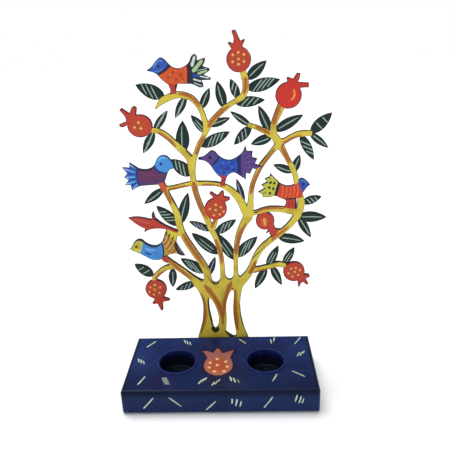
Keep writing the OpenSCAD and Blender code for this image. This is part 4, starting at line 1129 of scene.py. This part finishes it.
def build_base_paint():
    """The pale dashes on the top and the front, and the pomegranate between the wells."""
    green = rgb(190, 206, 178)
    paint_patch("paint_top_dashes", dashes(TOP_DASHES), [], green, on_top, DASH_PAINT)
    paint_patch("paint_front_dashes", dashes(FRONT_DASHES), [], green, on_front, DASH_PAINT)
    skin = [field(rgb(168, 100, 96), BADGE, lift=0.08)]
    skin += [dot(colour, -3, -7.6, r, lift=0.0) for colour, r in
             ((rgb(172, 104, 70), 14.4), (rgb(176, 94, 58), 12.6), (rgb(178, 84, 54), 9.6))]
    seeds = dots(rgb(236, 160, 118), BADGE_SEEDS, r=2.1, lift=0.2)
    glints = [dot(rgb(255, 206, 180), x - 0.2, y + 0.2, 1.1, lift=0.2) for x, y in BADGE_SEEDS]
    paint_patch("paint_pomegranate", [field(PLUM, BADGE_EDGE)], skin + seeds + glints,
                rgb(40, 14, 38), on_top, BADGE_PAINT)


# ---------- the CAD nodes that stay ----------

def finish_cad_nodes():
    """Gives every CAD node that stays its own material."""
    looks = (("base_top", NAVY_ENAMEL, "navy_enamel"),
             ("base_skirt", SHADED_SIDE_ENAMEL, "navy_enamel"), ("bottom_plate", BARE_STEEL, "bare_steel"),
             ("cup_", CUP_ENAMEL, "cup_enamel"), ("foot_", RUBBER, "rubber"),
             ("plate_screw_", ZINC_STEEL, "zinc_steel"), ("tree_screw_", ZINC_STEEL, "zinc_steel"),
             ("tree_nut_", ZINC_STEEL, "zinc_steel"))
    for node, piece in sorted(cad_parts.items()):
        for start, material, slot in looks:
            if node.startswith(start):
                for place in piece.material_slots:
                    place.material = material


# ---------- the floor, the light and the camera ----------

def build_stage():
    """A plain pale floor: a wide disc, its rings closer together towards the middle."""
    reach, ring_count, spokes = 9.0, 6, 48
    mesh = bpy.data.meshes.new("floor")
    turns = [2 * math.pi * k / spokes for k in range(spokes)]
    verts, faces = [(0, 0, 0)], []
    for ring in range(1, ring_count + 1):
        r = reach * (ring / ring_count) ** 2
        first = len(verts)
        verts += [(r * math.cos(turn), r * math.sin(turn), 0) for turn in turns]
        for k in range(spokes):
            j = (k + 1) % spokes
            if ring == 1:
                faces.append((0, first + k, first + j))
            else:
                faces.append((first - spokes + k, first + k, first + j, first - spokes + j))
    mesh.from_pydata(verts, [], faces)
    floor = add("floor", mesh)
    s = Shader("floor_paper")
    s.bump(s.noise(180, 3), 0.0002, 0.15)
    paper = s.tone((*rgb(252, 252, 252), 1), s.ramp(s.noise(3, 2), 0.2, 0.8, 0.99, 1.0))
    floor.data.materials.append(s.finish(Base_Color=paper, Roughness=0.75,
                                         Specular_IOR_Level=0.2))


def sun(name, strength, spread, azimuth, height):
    """A broad, soft, distant light from an azimuth (0 is the front) and a height."""
    lamp = bpy.data.lights.new(name, "SUN")
    lamp.energy = strength
    lamp.angle = math.radians(spread)
    a, h = math.radians(azimuth), math.radians(height)
    toward = Vector((math.sin(a) * math.cos(h), -math.cos(a) * math.cos(h), math.sin(h)))
    made = add(name, lamp)
    made.rotation_mode = "QUATERNION"
    made.rotation_quaternion = toward.to_track_quat("Z", "Y")


def build_light():
    """A high key light from behind on the left, a broad fill from the front, a pale room."""
    sun("key", 2.8, 44, -138, 73)
    sun("fill", 1.25, 100, -12, 30)
    world = bpy.data.worlds.new("room")
    bpy.context.scene.world = world
    world.use_nodes = True
    nodes, links = world.node_tree.nodes, world.node_tree.links
    lit = nodes["Background"]
    lit.inputs["Color"].default_value = (0.93, 0.95, 1, 1)
    lit.inputs["Strength"].default_value = 0.26
    seen = nodes.new("ShaderNodeBackground")
    seen.inputs["Color"].default_value = (1, 1, 1, 1)
    seen.inputs["Strength"].default_value = 1.0
    ray = nodes.new("ShaderNodeLightPath")
    both = nodes.new("ShaderNodeMixShader")
    links.new(ray.outputs["Is Camera Ray"], both.inputs[0])
    links.new(lit.outputs[0], both.inputs[1])
    links.new(seen.outputs[0], both.inputs[2])
    links.new(both.outputs[0], nodes["World Output"].inputs["Surface"])


CAMERA_AT = (28.3, -443.4, 356.7)      # from the middle of the base's underside, mm
CAMERA_YAW, CAMERA_TILT, CAMERA_ROLL = -2.25, 20.84, -2.14
LENS, SENSOR = 38.35752, 36.0          # focal length and sensor width, mm


def build_camera():
    """The camera of the photograph's view, looking down on the base."""
    yaw, tilt, roll = (math.radians(x) for x in (CAMERA_YAW, CAMERA_TILT, CAMERA_ROLL))
    level = Vector((math.sin(yaw), math.cos(yaw), 0))
    right = Vector((math.cos(yaw), -math.sin(yaw), 0))
    up = Vector((0, 0, 1))
    ahead = math.cos(tilt) * level - math.sin(tilt) * up
    above = math.sin(tilt) * level + math.cos(tilt) * up
    across = math.cos(roll) * right + math.sin(roll) * above
    top = -math.sin(roll) * right + math.cos(roll) * above
    data = bpy.data.cameras.new("camera")
    data.sensor_width = SENSOR
    data.lens = LENS
    data.clip_start, data.clip_end = 0.02, 60
    camera = add("camera", data)
    turn = Matrix((across, top, -ahead)).transposed()
    place = Vector((CAMERA_AT[0] + BASE_X, CAMERA_AT[1] + BASE_Y, CAMERA_AT[2] + BASE_Z)) * MM
    camera.matrix_world = Matrix.Translation(place) @ turn.to_4x4()
    bpy.context.scene.camera = camera


build_tree()
build_base_paint()
finish_cad_nodes()
build_stage()
build_light()
build_camera()
bpy.context.scene.view_settings.view_transform = "Standard"
